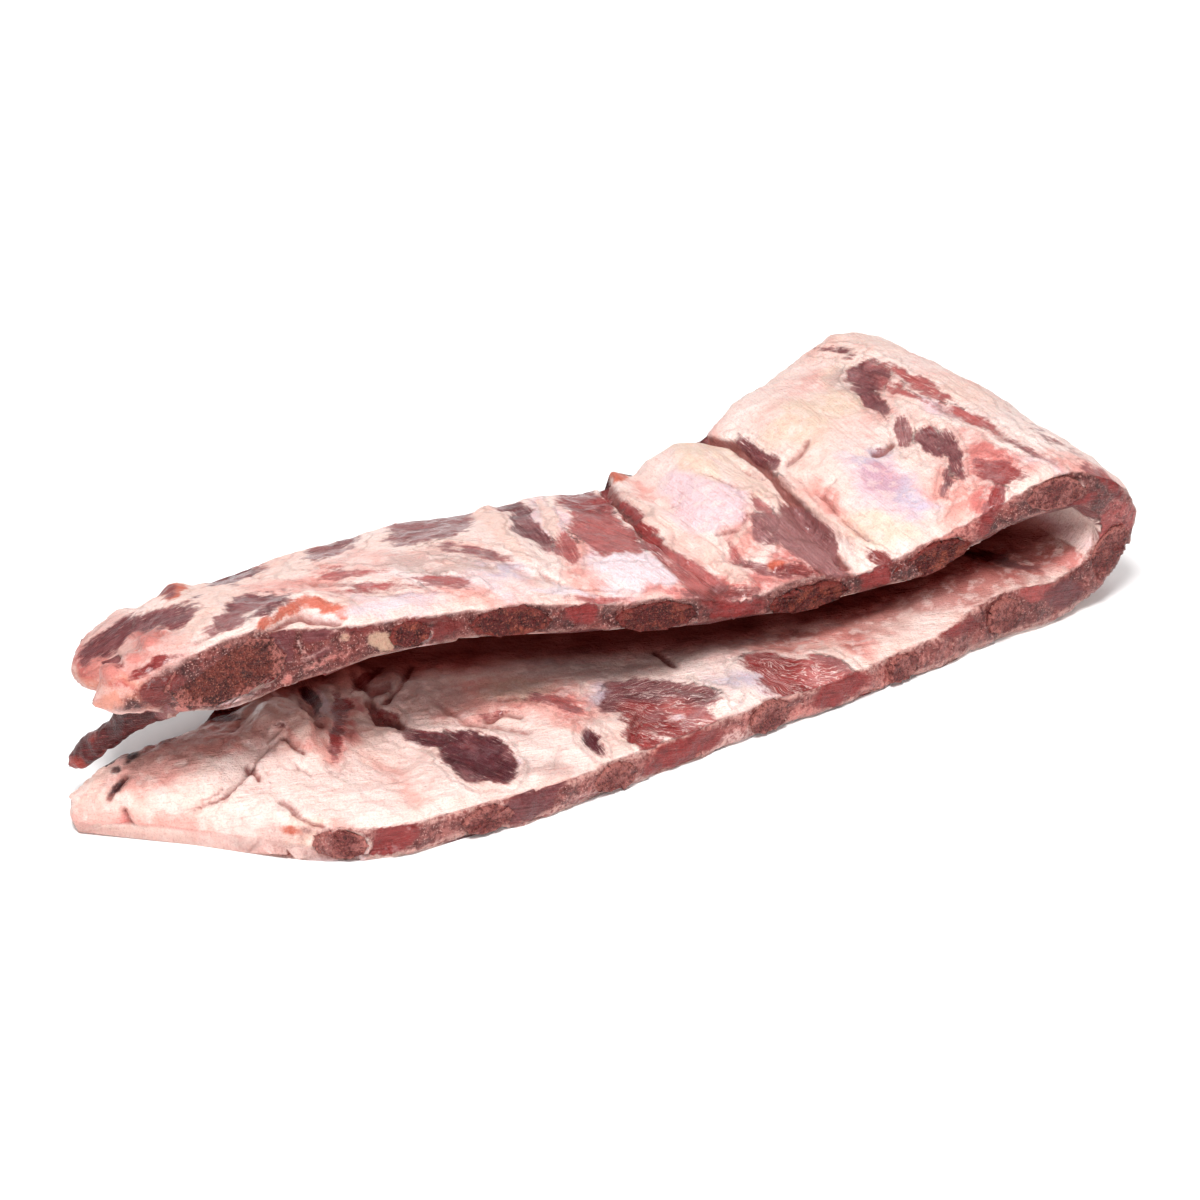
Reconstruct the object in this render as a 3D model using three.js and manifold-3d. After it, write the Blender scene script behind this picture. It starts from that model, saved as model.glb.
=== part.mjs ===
// A raw strip of pork ribs with its meat and fat, folded once in the middle, lying on the table.
// The strip starts at the free end of its upper layer, runs to the fold, turns round and comes back
// as the lower layer. Both long sides are saw cuts, and every rib bone runs across from cut to cut.
// Sizes are in millimetres: +X towards the fold, +Y from the front cut to the back cut, +Z up.

import * as THREE from "three";
import Module from "manifold-3d";

const wasm = await Module();
wasm.setup();

// Driving sizes
const STATION_STEP = 6.4; // spacing of the rings that the slab is lofted through
const FACE_POINTS = 14; // points across each broad face of the slab
const CUT_POINTS = 2; // points down each cut face, between its two corners
const CORNER_ROUND = 1.3; // how far the slab's edges fall away at a cut face
const BONE_CLEARANCE = 0.3; // gap between a bone and the meat round it
const BONE_PROUD = 0.4; // how far a sawn bone stands out of the cut face
const BONE_SIDES = 10;
const BONE_STEPS = 4; // lengths that each bone is made of
const LAYER_TURN = 12; // station at the outermost point of the fold

// The middle of the slab at its front and back cuts, from the free end of the upper layer round the
// fold to the tip of the lower layer. thick is the slab's thickness at the front and the back, and
// bow is how far its middle bulges outwards, as the side of a chest does.
const stations = [
  { front: [-149, -25, 46], back: [-142, 17, 35], thick: [13, 8], bow: 2 },
  { front: [-141, -28.5, 48.5], back: [-134, 28, 32], thick: [18, 9], bow: 3 },
  { front: [-131, -30, 49.5], back: [-124, 34, 31], thick: [21, 9], bow: 4 },
  { front: [-112, -31, 49], back: [-106, 39, 30.5], thick: [17, 10], bow: 5 },
  { front: [-87, -33, 47], back: [-82, 42, 30], thick: [11, 10], bow: 5 },
  { front: [-55, -35.5, 42.5], back: [-50, 40, 31], thick: [10, 10], bow: 5 },
  { front: [-15, -38.5, 33.5], back: [-10, 36, 30], thick: [10, 10], bow: 5 },
  { front: [24, -41, 26.5], back: [24, 31.5, 30], thick: [9, 10], bow: 5 },
  { front: [55, -43.5, 25], back: [55, 36, 33.5], thick: [9.5, 11], bow: 5 },
  { front: [82, -50, 30.5], back: [84, 45, 36.5], thick: [11, 11], bow: 4 },
  { front: [106, -54.5, 40.5], back: [108, 55, 38], thick: [12, 11], bow: 3.5 },
  { front: [127, -56.5, 38], back: [130, 58, 38.5], thick: [13, 12], bow: 2.5 },
  { front: [137.5, -55.5, 26], back: [142, 58, 27], thick: [16, 13], bow: 1.5 },
  { front: [131, -54, 12], back: [137, 57, 11.5], thick: [15, 12], bow: 0 },
  { front: [117, -55.5, 7.4], back: [120, 57, 5.6], thick: [15, 11.5], bow: 0 },
  { front: [97, -55.5, 7.8], back: [100, 56, 4.6], thick: [16.5, 10.5], bow: 0 },
  { front: [62, -58.5, 4.8], back: [64, 55, 4.4], thick: [12, 10], bow: 0 },
  { front: [14, -60.5, 4.8], back: [15, 54, 4.4], thick: [12, 10], bow: 0 },
  { front: [-36, -63, 4.6], back: [-38, 52, 4.4], thick: [11.5, 10], bow: 0 },
  { front: [-76, -62.5, 4.6], back: [-79, 42, 4.4], thick: [11.5, 10], bow: 0 },
  { front: [-106, -57.5, 4.8], back: [-107, 23, 4.4], thick: [12, 10], bow: 0 },
  { front: [-124, -45.5, 5], back: [-123, 10, 4.4], thick: [12, 10], bow: 0 },
  { front: [-141, -25.5, 5], back: [-140, 5, 4.8], thick: [12, 10], bow: 0 },
  { front: [-155, -11, 4.6], back: [-153, 4, 4.6], thick: [11, 9], bow: 0 },
  { front: [-164, -2, 4.2], back: [-162.5, 4, 4.2], thick: [8, 7], bow: 0 },
];

// Each bone's place along the strip, counted in stations at the front cut, and how far towards the
// next rib its back end lies, in millimetres along the strip. wide and high are its section at the
// front cut, wideBack and highBack at the back cut. ridge is how far it lifts the outer face.
const bones = [
  { at: 1.82, lean: 0, wide: 30, high: 15, wideBack: 15, highBack: 6.5, ridge: 0.8 },
  { at: 4.18, lean: 2, wide: 12, high: 6.5, wideBack: 13, highBack: 7, ridge: 0.6 },
  { at: 5.08, lean: 3, wide: 24, high: 7.4, wideBack: 13, highBack: 7, ridge: 0.8 },
  { at: 6.15, lean: 6, wide: 26, high: 7.6, wideBack: 13, highBack: 7, ridge: 1.6 },
  { at: 7.46, lean: 3, wide: 24, high: 7, wideBack: 14, highBack: 7.4, ridge: 3.2 },
  { at: 8.78, lean: 2, wide: 21, high: 8, wideBack: 14, highBack: 8, ridge: 2.8 },
  { at: 10.35, lean: 2, wide: 19, high: 8.6, wideBack: 14, highBack: 8, ridge: 2.2 },
  { at: 12.6, lean: 1, wide: 15, high: 10, wideBack: 14, highBack: 8.5, ridge: 1.2 },
  { at: 15.0, lean: 0, wide: 12, high: 10, wideBack: 12, highBack: 7, ridge: 0 },
  { at: 16.05, lean: 0, wide: 10.5, high: 8.2, wideBack: 12, highBack: 6.6, ridge: 0 },
  { at: 17.02, lean: 1, wide: 12.5, high: 8.4, wideBack: 12, highBack: 6.6, ridge: 0 },
  { at: 18.06, lean: 1, wide: 13.5, high: 8.2, wideBack: 12, highBack: 6.6, ridge: 0 },
  { at: 19.05, lean: 1, wide: 13, high: 8, wideBack: 12, highBack: 6.6, ridge: 0 },
  { at: 20.5, lean: 0, wide: 14.5, high: 8, wideBack: 12, highBack: 6.4, ridge: 0 },
];

// Pads and lumps of fat on the inner face of the lower layer, and troughs where height is negative.
const mounds = [
  { x: -118, y: -12, rx: 40, ry: 34, height: 6.5 },
  { x: -106, y: -13, rx: 13, ry: 10, height: 6 },
  { x: -138, y: -4, rx: 17, ry: 15, height: 3.5 },
  { x: -150, y: -1, rx: 12, ry: 11, height: 3 },
  { x: -86, y: -33, rx: 12, ry: 20, height: -2 },
  { x: -40, y: -25, rx: 30, ry: 22, height: 3 },
  { x: 18, y: -40, rx: 16, ry: 20, height: 1.8 },
  { x: 100, y: -40, rx: 18, ry: 22, height: 2.2 },
];

// Furrows between the ribs on the outer face, each from the front cut to the back cut.
const furrows = [
  { at: 6.82, lean: 12, wide: 6.5, deep: 3.6 },
  { at: 8.05, lean: 1, wide: 6, deep: 3.4 },
  { at: 9.85, lean: 3, wide: 9, deep: 1.4 },
  { at: 3.2, lean: 4, wide: 10, deep: 1.4 },
];

// The free end of the upper layer: a tapering tongue, a blunt lobe behind it, and a thin flap of
// meat that hangs from the tongue to just above the table. Each is a run of round sections.
const tongue = [
  { centre: [-131, -23, 50], half: [9, 8.5] },
  { centre: [-143, -21, 49.5], half: [8.5, 8.5] },
  { centre: [-153, -18.5, 46.8], half: [7.5, 6.8] },
  { centre: [-163, -15, 43], half: [4, 3.4] },
];
const lobe = [
  { centre: [-128, 13, 40], half: [18, 6] },
  { centre: [-140, 10, 39.5], half: [14.5, 6] },
  { centre: [-149, 6.5, 39], half: [10.5, 5.5] },
  { centre: [-156, 4, 38.5], half: [6, 4] },
];
const flap = [
  { centre: [-143, -18, 42], half: [7, 4.5] },
  { centre: [-147, -9, 34], half: [5.5, 4.4] },
  { centre: [-150.5, 0, 25], half: [4.4, 4] },
  { centre: [-153.5, 9, 16], half: [3.8, 3.6] },
  { centre: [-156.5, 15.5, 8.5], half: [3, 3] },
];

const WIDTHWAYS = new THREE.Vector3(0, 1, 0);

const vector = (xyz) => new THREE.Vector3(...xyz);

// A curve through one point of every station, read by station number.
function guide(points, type) {
  const curve = new THREE.CatmullRomCurve3(points, false, type);
  return (station) => curve.getPoint(THREE.MathUtils.clamp(station / (points.length - 1), 0, 1));
}

const frontAt = guide(stations.map((s) => vector(s.front)), "centripetal");
const backAt = guide(stations.map((s) => vector(s.back)), "centripetal");
const sizeAt = guide(stations.map((s) => vector([...s.thick, s.bow])), "catmullrom");

// A repeatable random number from 0 to 1 for a point of a grid.
function lattice(i, j, seed) {
  const n = Math.sin(i * 127.1 + j * 311.7 + seed * 74.7) * 43758.5453;
  return n - Math.floor(n);
}

// Smooth noise from -1 to 1.
function noise(x, y, seed) {
  const i = Math.floor(x);
  const j = Math.floor(y);
  const ease = (t) => t * t * (3 - 2 * t);
  const across = THREE.MathUtils.lerp;
  const low = across(lattice(i, j, seed), lattice(i + 1, j, seed), ease(x - i));
  const high = across(lattice(i, j + 1, seed), lattice(i + 1, j + 1, seed), ease(x - i));
  return 2 * across(low, high, ease(y - j)) - 1;
}

// How far along the strip each station lies, measured at mid-width.
const lengthTable = (() => {
  const perStation = 24;
  const table = [0];
  let last = null;
  for (let i = 0; i <= (stations.length - 1) * perStation; i++) {
    const middle = frontAt(i / perStation).lerp(backAt(i / perStation), 0.5);
    if (last) table.push(table[table.length - 1] + middle.distanceTo(last));
    last = middle;
  }
  return {
    total: table[table.length - 1],
    lengthOf(station) {
      const x = THREE.MathUtils.clamp(station * perStation, 0, table.length - 1.001);
      return THREE.MathUtils.lerp(table[Math.floor(x)], table[Math.floor(x) + 1], x % 1);
    },
    stationOf(length) {
      let i = 1;
      while (i < table.length - 1 && table[i] < length) i++;
      const share = (length - table[i - 1]) / (table[i] - table[i - 1]);
      return (i - 1 + THREE.MathUtils.clamp(share, 0, 1)) / perStation;
    },
  };
})();

// The slab's middle surface at a station and at a share of its width: the point, the directions
// along the strip, across it and out of its outer face, and the half thickness there.
function middleSurface(station, share) {
  const point = (s) => frontAt(s).lerp(backAt(s), share);
  const step = 0.02;
  const along = point(station + step).sub(point(station - step)).normalize();
  const across = backAt(station).sub(frontAt(station)).normalize();
  const out = new THREE.Vector3().crossVectors(along, across).normalize();
  const size = sizeAt(station);
  const bow = size.z * 4 * share * (1 - share);
  return {
    along,
    across,
    out,
    at: point(station).addScaledVector(out, bow),
    half: THREE.MathUtils.lerp(size.x, size.y, share) / 2,
  };
}

const bell = (d, width) => Math.exp(-((d / width) ** 2));

// How far a line that leans across the strip is from a place on it, in millimetres.
function offLine(line, length, share) {
  return length - lengthTable.lengthOf(line.at) - line.lean * share;
}

function outerRelief(length, share) {
  let height = 0.7 * noise(length / 17, share * 6, 3);
  for (const bone of bones) {
    height += bone.ridge * bell(offLine(bone, length, share), 11);
  }
  for (const furrow of furrows) {
    height -= furrow.deep * bell(offLine(furrow, length, share), furrow.wide);
  }
  return height;
}

function innerRelief(length, share, at) {
  let height = 0.5 * noise(length / 14, share * 6, 8);
  const lower = lengthTable.stationOf(length) > LAYER_TURN + 1;
  for (const mound of lower ? mounds : []) {
    const d2 = ((at.x - mound.x) / mound.rx) ** 2 + ((at.y - mound.y) / mound.ry) ** 2;
    height += mound.height * Math.exp(-1.4 * d2);
  }
  return height;
}

// One closed ring round the slab: over the outer face from front to back, down the back cut, under
// the inner face to the front and up the front cut.
function slabRing(station) {
  const length = lengthTable.lengthOf(station);
  const ring = [];
  const put = (share, side, inset, drop) => {
    const { at, across, out, half } = middleSurface(station, share);
    const rise = side > 0 ? outerRelief(length, share) : innerRelief(length, share, at);
    const sway = share < 0.5 ? noise(length / 8, 1, 21) : -noise(length / 9, 5, 22);
    const edge = share < 0.5 ? inset : -inset;
    const fade = Math.abs(2 * share - 1) ** 6;
    const height = side * (half + (1 - 0.5 * fade) * rise - drop);
    ring.push(at.addScaledVector(out, height).addScaledVector(across, edge + 0.9 * fade * sway));
  };
  const shareOf = (i) => 0.5 - 0.5 * Math.cos((Math.PI * i) / (FACE_POINTS - 1)) ** 1;
  const spread = (i) => THREE.MathUtils.lerp(i / (FACE_POINTS - 1), shareOf(i), 0.45);
  for (let i = 0; i < FACE_POINTS; i++) {
    const end = i === 0 || i === FACE_POINTS - 1;
    put(spread(i), 1, 0, end ? CORNER_ROUND : 0);
  }
  for (let i = 1; i <= CUT_POINTS; i++) {
    const { at, across, out, half } = middleSurface(station, 1);
    const reach = half - CORNER_ROUND;
    const height = reach * (1 - (2 * i) / (CUT_POINTS + 1));
    ring.push(at.addScaledVector(out, height).addScaledVector(across, 0.9 - 0.9 * noise(length / 9, 5, 22)));
  }
  for (let i = FACE_POINTS - 1; i >= 0; i--) {
    const end = i === 0 || i === FACE_POINTS - 1;
    put(spread(i), -1, 0, end ? CORNER_ROUND : 0);
  }
  for (let i = 1; i <= CUT_POINTS; i++) {
    const { at, across, out, half } = middleSurface(station, 0);
    const reach = half - CORNER_ROUND;
    const height = reach * ((2 * i) / (CUT_POINTS + 1) - 1);
    ring.push(at.addScaledVector(out, height).addScaledVector(across, 0.9 * noise(length / 8, 1, 21) - 0.5));
  }
  return ring;
}

// A closed skin through a run of rings that all have the same number of points.
function loft(rings) {
  const count = rings[0].length;
  const middleOf = (ring) => ring.reduce((sum, p) => sum.add(p), new THREE.Vector3()).divideScalar(count);
  const points = [...rings.flat(), middleOf(rings[0]), middleOf(rings[rings.length - 1])];
  const firstCap = rings.length * count;
  const faces = [];
  for (let i = 0; i < rings.length - 1; i++) {
    for (let j = 0; j < count; j++) {
      const [a, b] = [i * count + j, i * count + ((j + 1) % count)];
      faces.push([a, a + count, b + count], [a, b + count, b]);
    }
  }
  for (let j = 0; j < count; j++) {
    const last = (rings.length - 1) * count;
    faces.push([firstCap, j, (j + 1) % count]);
    faces.push([firstCap + 1, last + ((j + 1) % count), last + j]);
  }
  const volume = faces.reduce((sum, [a, b, c]) => {
    return sum + points[a].dot(new THREE.Vector3().crossVectors(points[b], points[c]));
  }, 0);
  if (volume < 0) faces.forEach((face) => face.reverse());
  const geometry = new THREE.BufferGeometry();
  geometry.setAttribute("position", new THREE.Float32BufferAttribute(points.flatMap((p) => p.toArray()), 3));
  geometry.setIndex(faces.flat());
  return geometry;
}

// A round-ended limb of meat through sections that each lie square to the run of their centres.
function limb(sections, sides) {
  const curve = new THREE.CatmullRomCurve3(sections.map((s) => vector(s.centre)), false, "centripetal");
  const halves = new THREE.CatmullRomCurve3(sections.map((s) => vector([...s.half, 0])), false, "catmullrom");
  const steps = 9;
  const rings = [];
  for (let i = 0; i <= steps; i++) {
    const t = i / steps;
    const round = Math.sqrt(Math.max(0.04, 1 - Math.max(0, (t - 0.82) / 0.18) ** 2));
    const half = halves.getPoint(t).multiplyScalar(round);
    const along = curve.getTangent(t);
    const across = WIDTHWAYS.clone().addScaledVector(along, -along.y).normalize();
    const out = new THREE.Vector3().crossVectors(along, across);
    rings.push(ringOf(curve.getPoint(t), across.multiplyScalar(half.x), out.multiplyScalar(half.y), sides));
  }
  return loft(rings);
}

function ringOf(centre, right, up, sides) {
  return Array.from({ length: sides }, (_, i) => {
    const angle = (2 * Math.PI * i) / sides;
    return centre.clone().addScaledVector(right, Math.cos(angle)).addScaledVector(up, Math.sin(angle));
  });
}

// A rib bone from the front cut to the back cut, standing a little out of both. Its channel is the
// same shape grown by the clearance and run on past both cuts.
function boneShape(bone, grow, runOn) {
  const rings = [];
  for (let i = 0; i <= BONE_STEPS; i++) {
    const share = i / BONE_STEPS;
    const length = lengthTable.lengthOf(bone.at) + bone.lean * share;
    const { at, along, across, out } = middleSurface(lengthTable.stationOf(length), share);
    const ease = Math.min(1, share * 1.6);
    const wide = THREE.MathUtils.lerp(bone.wide, bone.wideBack, ease) / 2 + grow;
    const high = THREE.MathUtils.lerp(bone.high, bone.highBack, ease) / 2 + grow;
    const outwards = i === 0 ? -1 : i === BONE_STEPS ? 1 : 0;
    at.addScaledVector(across, outwards * BONE_PROUD);
    const ring = ringOf(at, along.multiplyScalar(wide), out.multiplyScalar(high), BONE_SIDES);
    const further = ring.map((p) => p.clone().addScaledVector(across, outwards * runOn));
    if (runOn && outwards < 0) rings.push(further);
    rings.push(ring);
    if (runOn && outwards > 0) rings.push(further);
  }
  return loft(rings);
}

function solidOf(geometry) {
  return new wasm.Manifold(
    new wasm.Mesh({
      numProp: 3,
      vertProperties: new Float32Array(geometry.getAttribute("position").array),
      triVerts: new Uint32Array(geometry.index.array),
    }),
  );
}

function geometryOf(solid) {
  const mesh = solid.getMesh();
  const geometry = new THREE.BufferGeometry();
  const positions = new Float32Array(mesh.numVert * 3);
  for (let i = 0; i < mesh.numVert; i++) {
    positions.set(mesh.vertProperties.subarray(i * mesh.numProp, i * mesh.numProp + 3), i * 3);
  }
  geometry.setAttribute("position", new THREE.BufferAttribute(positions, 3));
  geometry.setIndex(new THREE.BufferAttribute(new Uint32Array(mesh.triVerts), 1));
  return geometry;
}

// The whole slab of meat and fat in one piece, with a channel for each bone and a flat underside.
function meatSolid() {
  const rings = [];
  const count = Math.round(lengthTable.total / STATION_STEP);
  for (let i = 0; i <= count; i++) {
    rings.push(slabRing(lengthTable.stationOf((lengthTable.total * i) / count)));
  }
  let solid = solidOf(loft(rings));
  for (const sections of [tongue, lobe, flap]) {
    solid = solid.add(solidOf(limb(sections, 14)));
  }
  for (const bone of bones) {
    solid = solid.subtract(solidOf(boneShape(bone, BONE_CLEARANCE, 6)));
  }
  return solid.trimByPlane([0, 0, 1], 0);
}

const meatMaterial = new THREE.MeshStandardMaterial({ color: 0xe6c2b6, roughness: 0.45, metalness: 0 });
const boneMaterial = new THREE.MeshStandardMaterial({ color: 0x96504a, roughness: 0.7, metalness: 0 });

function namedMesh(name, geometry, material) {
  const mesh = new THREE.Mesh(geometry, material);
  mesh.name = name;
  return mesh;
}

const strip = new THREE.Group();
strip.add(namedMesh("meat", geometryOf(meatSolid()), meatMaterial));
bones.forEach((bone, i) => {
  const name = `rib_${String(i + 1).padStart(2, "0")}`;
  strip.add(namedMesh(name, boneShape(bone, 0, BONE_PROUD), boneMaterial));
});

// The origin is under the middle of the strip, on the table.
const box = new THREE.Box3().setFromObject(strip);
const middle = box.getCenter(new THREE.Vector3());
strip.position.set(-middle.x, -middle.y, -box.min.z);

export default strip;
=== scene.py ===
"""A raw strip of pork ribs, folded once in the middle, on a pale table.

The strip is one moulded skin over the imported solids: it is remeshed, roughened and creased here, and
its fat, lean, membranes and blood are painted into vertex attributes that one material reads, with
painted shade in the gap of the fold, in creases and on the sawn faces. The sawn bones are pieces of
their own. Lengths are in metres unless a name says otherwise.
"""

import itertools
import math
from types import SimpleNamespace

import bpy
import numpy as np
from mathutils import Matrix, Vector


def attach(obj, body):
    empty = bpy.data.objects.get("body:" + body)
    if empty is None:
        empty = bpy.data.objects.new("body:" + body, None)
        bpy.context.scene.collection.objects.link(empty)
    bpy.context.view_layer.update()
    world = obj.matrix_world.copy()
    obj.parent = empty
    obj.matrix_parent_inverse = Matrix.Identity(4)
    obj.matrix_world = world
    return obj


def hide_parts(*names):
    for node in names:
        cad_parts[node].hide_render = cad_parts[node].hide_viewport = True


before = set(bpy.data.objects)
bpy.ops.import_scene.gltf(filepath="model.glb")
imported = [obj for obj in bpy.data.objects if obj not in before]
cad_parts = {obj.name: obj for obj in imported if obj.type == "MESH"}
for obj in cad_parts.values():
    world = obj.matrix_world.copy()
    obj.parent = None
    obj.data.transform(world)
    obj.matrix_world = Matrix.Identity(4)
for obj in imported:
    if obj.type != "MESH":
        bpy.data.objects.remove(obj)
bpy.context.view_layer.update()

MM = 0.001
SEED = 7

# Camera, from the photograph: a 1200 pixel square picture
IMAGE_PX = 1200
PX_PER_MM = 3.67
AZIMUTH = -34.6
ELEVATION = 27.4
DISTANCE = 1.150
LENS_MM = 126.5
SENSOR_MM = 36.0
TARGET = np.array([7.295, 2.417, 18.0]) * MM

# Skin
VOXEL = 0.95 * MM
SMOOTHING_ROUNDS = 8
HIDDEN_SHARE = 0.42  # share of the skin's triangles that is left where the photograph sees nothing
HIDDEN_LEVELS = 5
BONE_SWELL = 0.5 * MM  # the bones are swollen by this before they join the remeshed skin
BONE_SHORT = 1.6 * MM  # and cut short by this at both ends
CAP_SINK = 1.2 * MM  # how far the skin lies behind a sawn bone
LEAN_SINK_MM = 0.5  # how far the lean lies below the fat
WIDTH_MM = 110  # width of the strip between its sawn faces, for the fibres

# Bones
RIB_COUNT = 14
BONE_SIDES = 56
CAP_RINGS = 9
CAP_ROUND = 0.35 * MM
SAMPLES_PER_RIB = 12
FOLD_RIB = 7.6  # place of the outermost point of the fold, counted in ribs from the free end

# The thin flap of meat that hangs from the free end, from its root to its tip
FLAP = np.array([(-138, -11, 38), (-140, -7, 34), (-143, 2, 25), (-146, 11, 16), (-149, 18, 8)]) * MM


def rgb(red, green, blue):
    """A colour from its 0 to 255 screen values."""
    linear = [((c / 255 + 0.055) / 1.055) ** 2.4 if c > 10 else c / 255 / 12.92 for c in (red, green, blue)]
    return np.array(linear)


# Fat and skins
CREAM = rgb(242, 217, 206)
PALE = rgb(250, 235, 228)
PINK = rgb(232, 172, 162)
ROSE = rgb(212, 126, 120)
YELLOW = rgb(238, 219, 200)
# grey fat; also painted shade below the brim of the fold and along creases on top
GREY_AND_SHADE = rgb(206, 184, 178)
LILAC = rgb(236, 215, 221)
BLUE = rgb(214, 208, 224)
DUSK = rgb(208, 172, 188)
BLUSH = rgb(244, 192, 182)
PEACH = rgb(240, 186, 162)
CHALK = rgb(226, 210, 184)
SILVER = rgb(238, 226, 230)
# dusky pink, used as painted shade on the inner face under the fold
SHADED_PINK = rgb(186, 116, 108)
# Lean
MAUVE = rgb(138, 80, 84)
ASH = rgb(170, 122, 122)
PURPLE = rgb(106, 50, 60)
RED = rgb(166, 68, 66)
ROSY = rgb(196, 116, 112)
DARK = rgb(92, 24, 28)
BRICK = rgb(140, 56, 52)
# Stains and edges, near-black marks, painted shade for creases, and the flap's red with painted highlight
ORANGE = rgb(204, 108, 80)
BLOOD = rgb(132, 12, 20)
NEAR_BLACK = rgb(64, 24, 32)
CREASE_SHADE = rgb(150, 78, 70)
FLAP_RED_AND_HIGHLIGHT = rgb(176, 66, 50)
# Sawn fat of the upper and of the lower layer
SAWN_PALE = rgb(148, 76, 68)
SAWN_DEEP = rgb(98, 26, 26)
LOW_SAWN_PALE = rgb(190, 134, 126)
LOW_SAWN_DEEP = rgb(132, 66, 62)
# Sawn bone, dark and pale, and its rim
MARROW_BROWN = (rgb(104, 42, 36), rgb(138, 74, 60))
MARROW_PINK = (rgb(142, 78, 76), rgb(184, 132, 126))
MARROW_RED = (rgb(112, 28, 28), rgb(164, 96, 74))
MARROW_FLECK = rgb(216, 160, 136)
RIM_PALE = rgb(200, 146, 136)
RIM_RED = rgb(150, 76, 68)

# Shares of the red, green and blue that are left of a colour
EXPOSURE = np.array([0.92, 0.85, 0.85])  # everywhere, under the studio light
# partly the darker tone of the sawn faces, partly painted shade where they face away from the top light
SAWN_TONE_AND_SHADE = np.array([0.80, 0.66, 0.66])  # of that, on the sawn faces
# painted shade: the darkening of the inner face deep in the gap of the fold
PAINTED_GAP_SHADE = np.array([0.13, 0.025, 0.022])  # of that, deep in the gap of the fold
SHADE = np.array([0.50, 0.26, 0.26])  # in dark flecks
DEPTH = 1.2  # power that deepens the darker colours

# Light: a white world, and square lamps with their place, size and watts
WORLD_STRENGTH = 0.36
LAMPS = [
    ("key", (-0.55, -0.55, 1.35), 0.5, 27),
    ("top", (0.3, 0.5, 1.4), 0.7, 6),
    ("fill", (-0.5, -1.3, 0.2), 0.5, 9),
]
LAMP_AIM = Vector((0, 0, 0.02))
FLOOR_SIZE = 6.0
FLOOR_COLOUR = (0.94, 0.94, 0.94, 1)

# Painting, in the photograph's pixels
OUTSIDE = -12.0  # depth of a point that is in no patch
WARP_PX = 7.0  # how far noise pushes the edges of patches
SOFT_WARP_PX = 16.0
LINE_WARP_PX = 3.0
TURN_PX = 560  # the fibres of the upper layer turn here, from the left tilt to the right one
LEFT_TILT = -12.0
RIGHT_TILT = 36.0
LOWER_TILT = -8.0

# The lower edge of the upper layer's cut face, across and down in the photograph's pixels; the painted shade
# of the gap is laid below it
BRIM = ((200, 330, 430, 600, 700, 860, 1000, 1110), (700, 662, 648, 632, 624, 592, 534, 500))

# What the photograph shows, kind by kind. Each patch: middle across and down, half length, half width
# and clockwise tilt in degrees, all in its pixels. The soft coats come first, then the lean, and last
# what lies over the lean.
TOP_SOFT = [
    (PINK, [(112, 672, 20, 14, 0), (150, 640, 18, 14, -20), (300, 585, 50, 8, -14), (960, 492, 30, 26, 20)]),
    (PINK, [(640, 490, 20, 8, 30), (742, 532, 26, 18, 40), (830, 508, 40, 14, 40), (935, 505, 40, 16, 20)]),
    (PINK, [(700, 585, 60, 14, 10), (590, 560, 34, 30, 60), (1085, 470, 40, 9, 20), (460, 600, 90, 8, -4)]),
    (ROSE, [(735, 585, 70, 12, 0), (812, 560, 40, 20, 30), (660, 592, 40, 7, -6), (985, 505, 16, 26, 20)]),
    (YELLOW, [(705, 456, 44, 13, 10), (885, 524, 40, 14, 0), (842, 392, 24, 26, 0), (752, 492, 20, 12, 30)]),
    (YELLOW, [(540, 590, 26, 6, 0), (330, 606, 12, 6, 0), (800, 425, 40, 20, -20)]),
    # painted shade: grey along a crease and beside a hollow on top
    (GREY_AND_SHADE, [(846, 382, 12, 22, 80), (440, 565, 60, 8, -4)]),
    (ROSE, [(1000, 464, 36, 14, 12), (985, 448, 20, 4, 20)]),
    (LILAC, [(703, 499, 44, 30, 30), (886, 485, 46, 28, 34), (940, 405, 26, 7, 20), (1050, 466, 22, 7, 20)]),
    (DUSK, [(876, 475, 26, 14, 30), (896, 498, 16, 7, 36)]),
    (LILAC, [(548, 520, 26, 12, 62), (610, 548, 34, 14, 40)]),
    (BLUE, [(909, 500, 26, 12, 50), (866, 456, 20, 8, -10), (500, 574, 26, 7, 4), (410, 603, 20, 5, 0)]),
    (SILVER, [(634, 566, 46, 24, 8), (470, 586, 70, 8, 4), (370, 608, 60, 8, 0)]),
]
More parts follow.
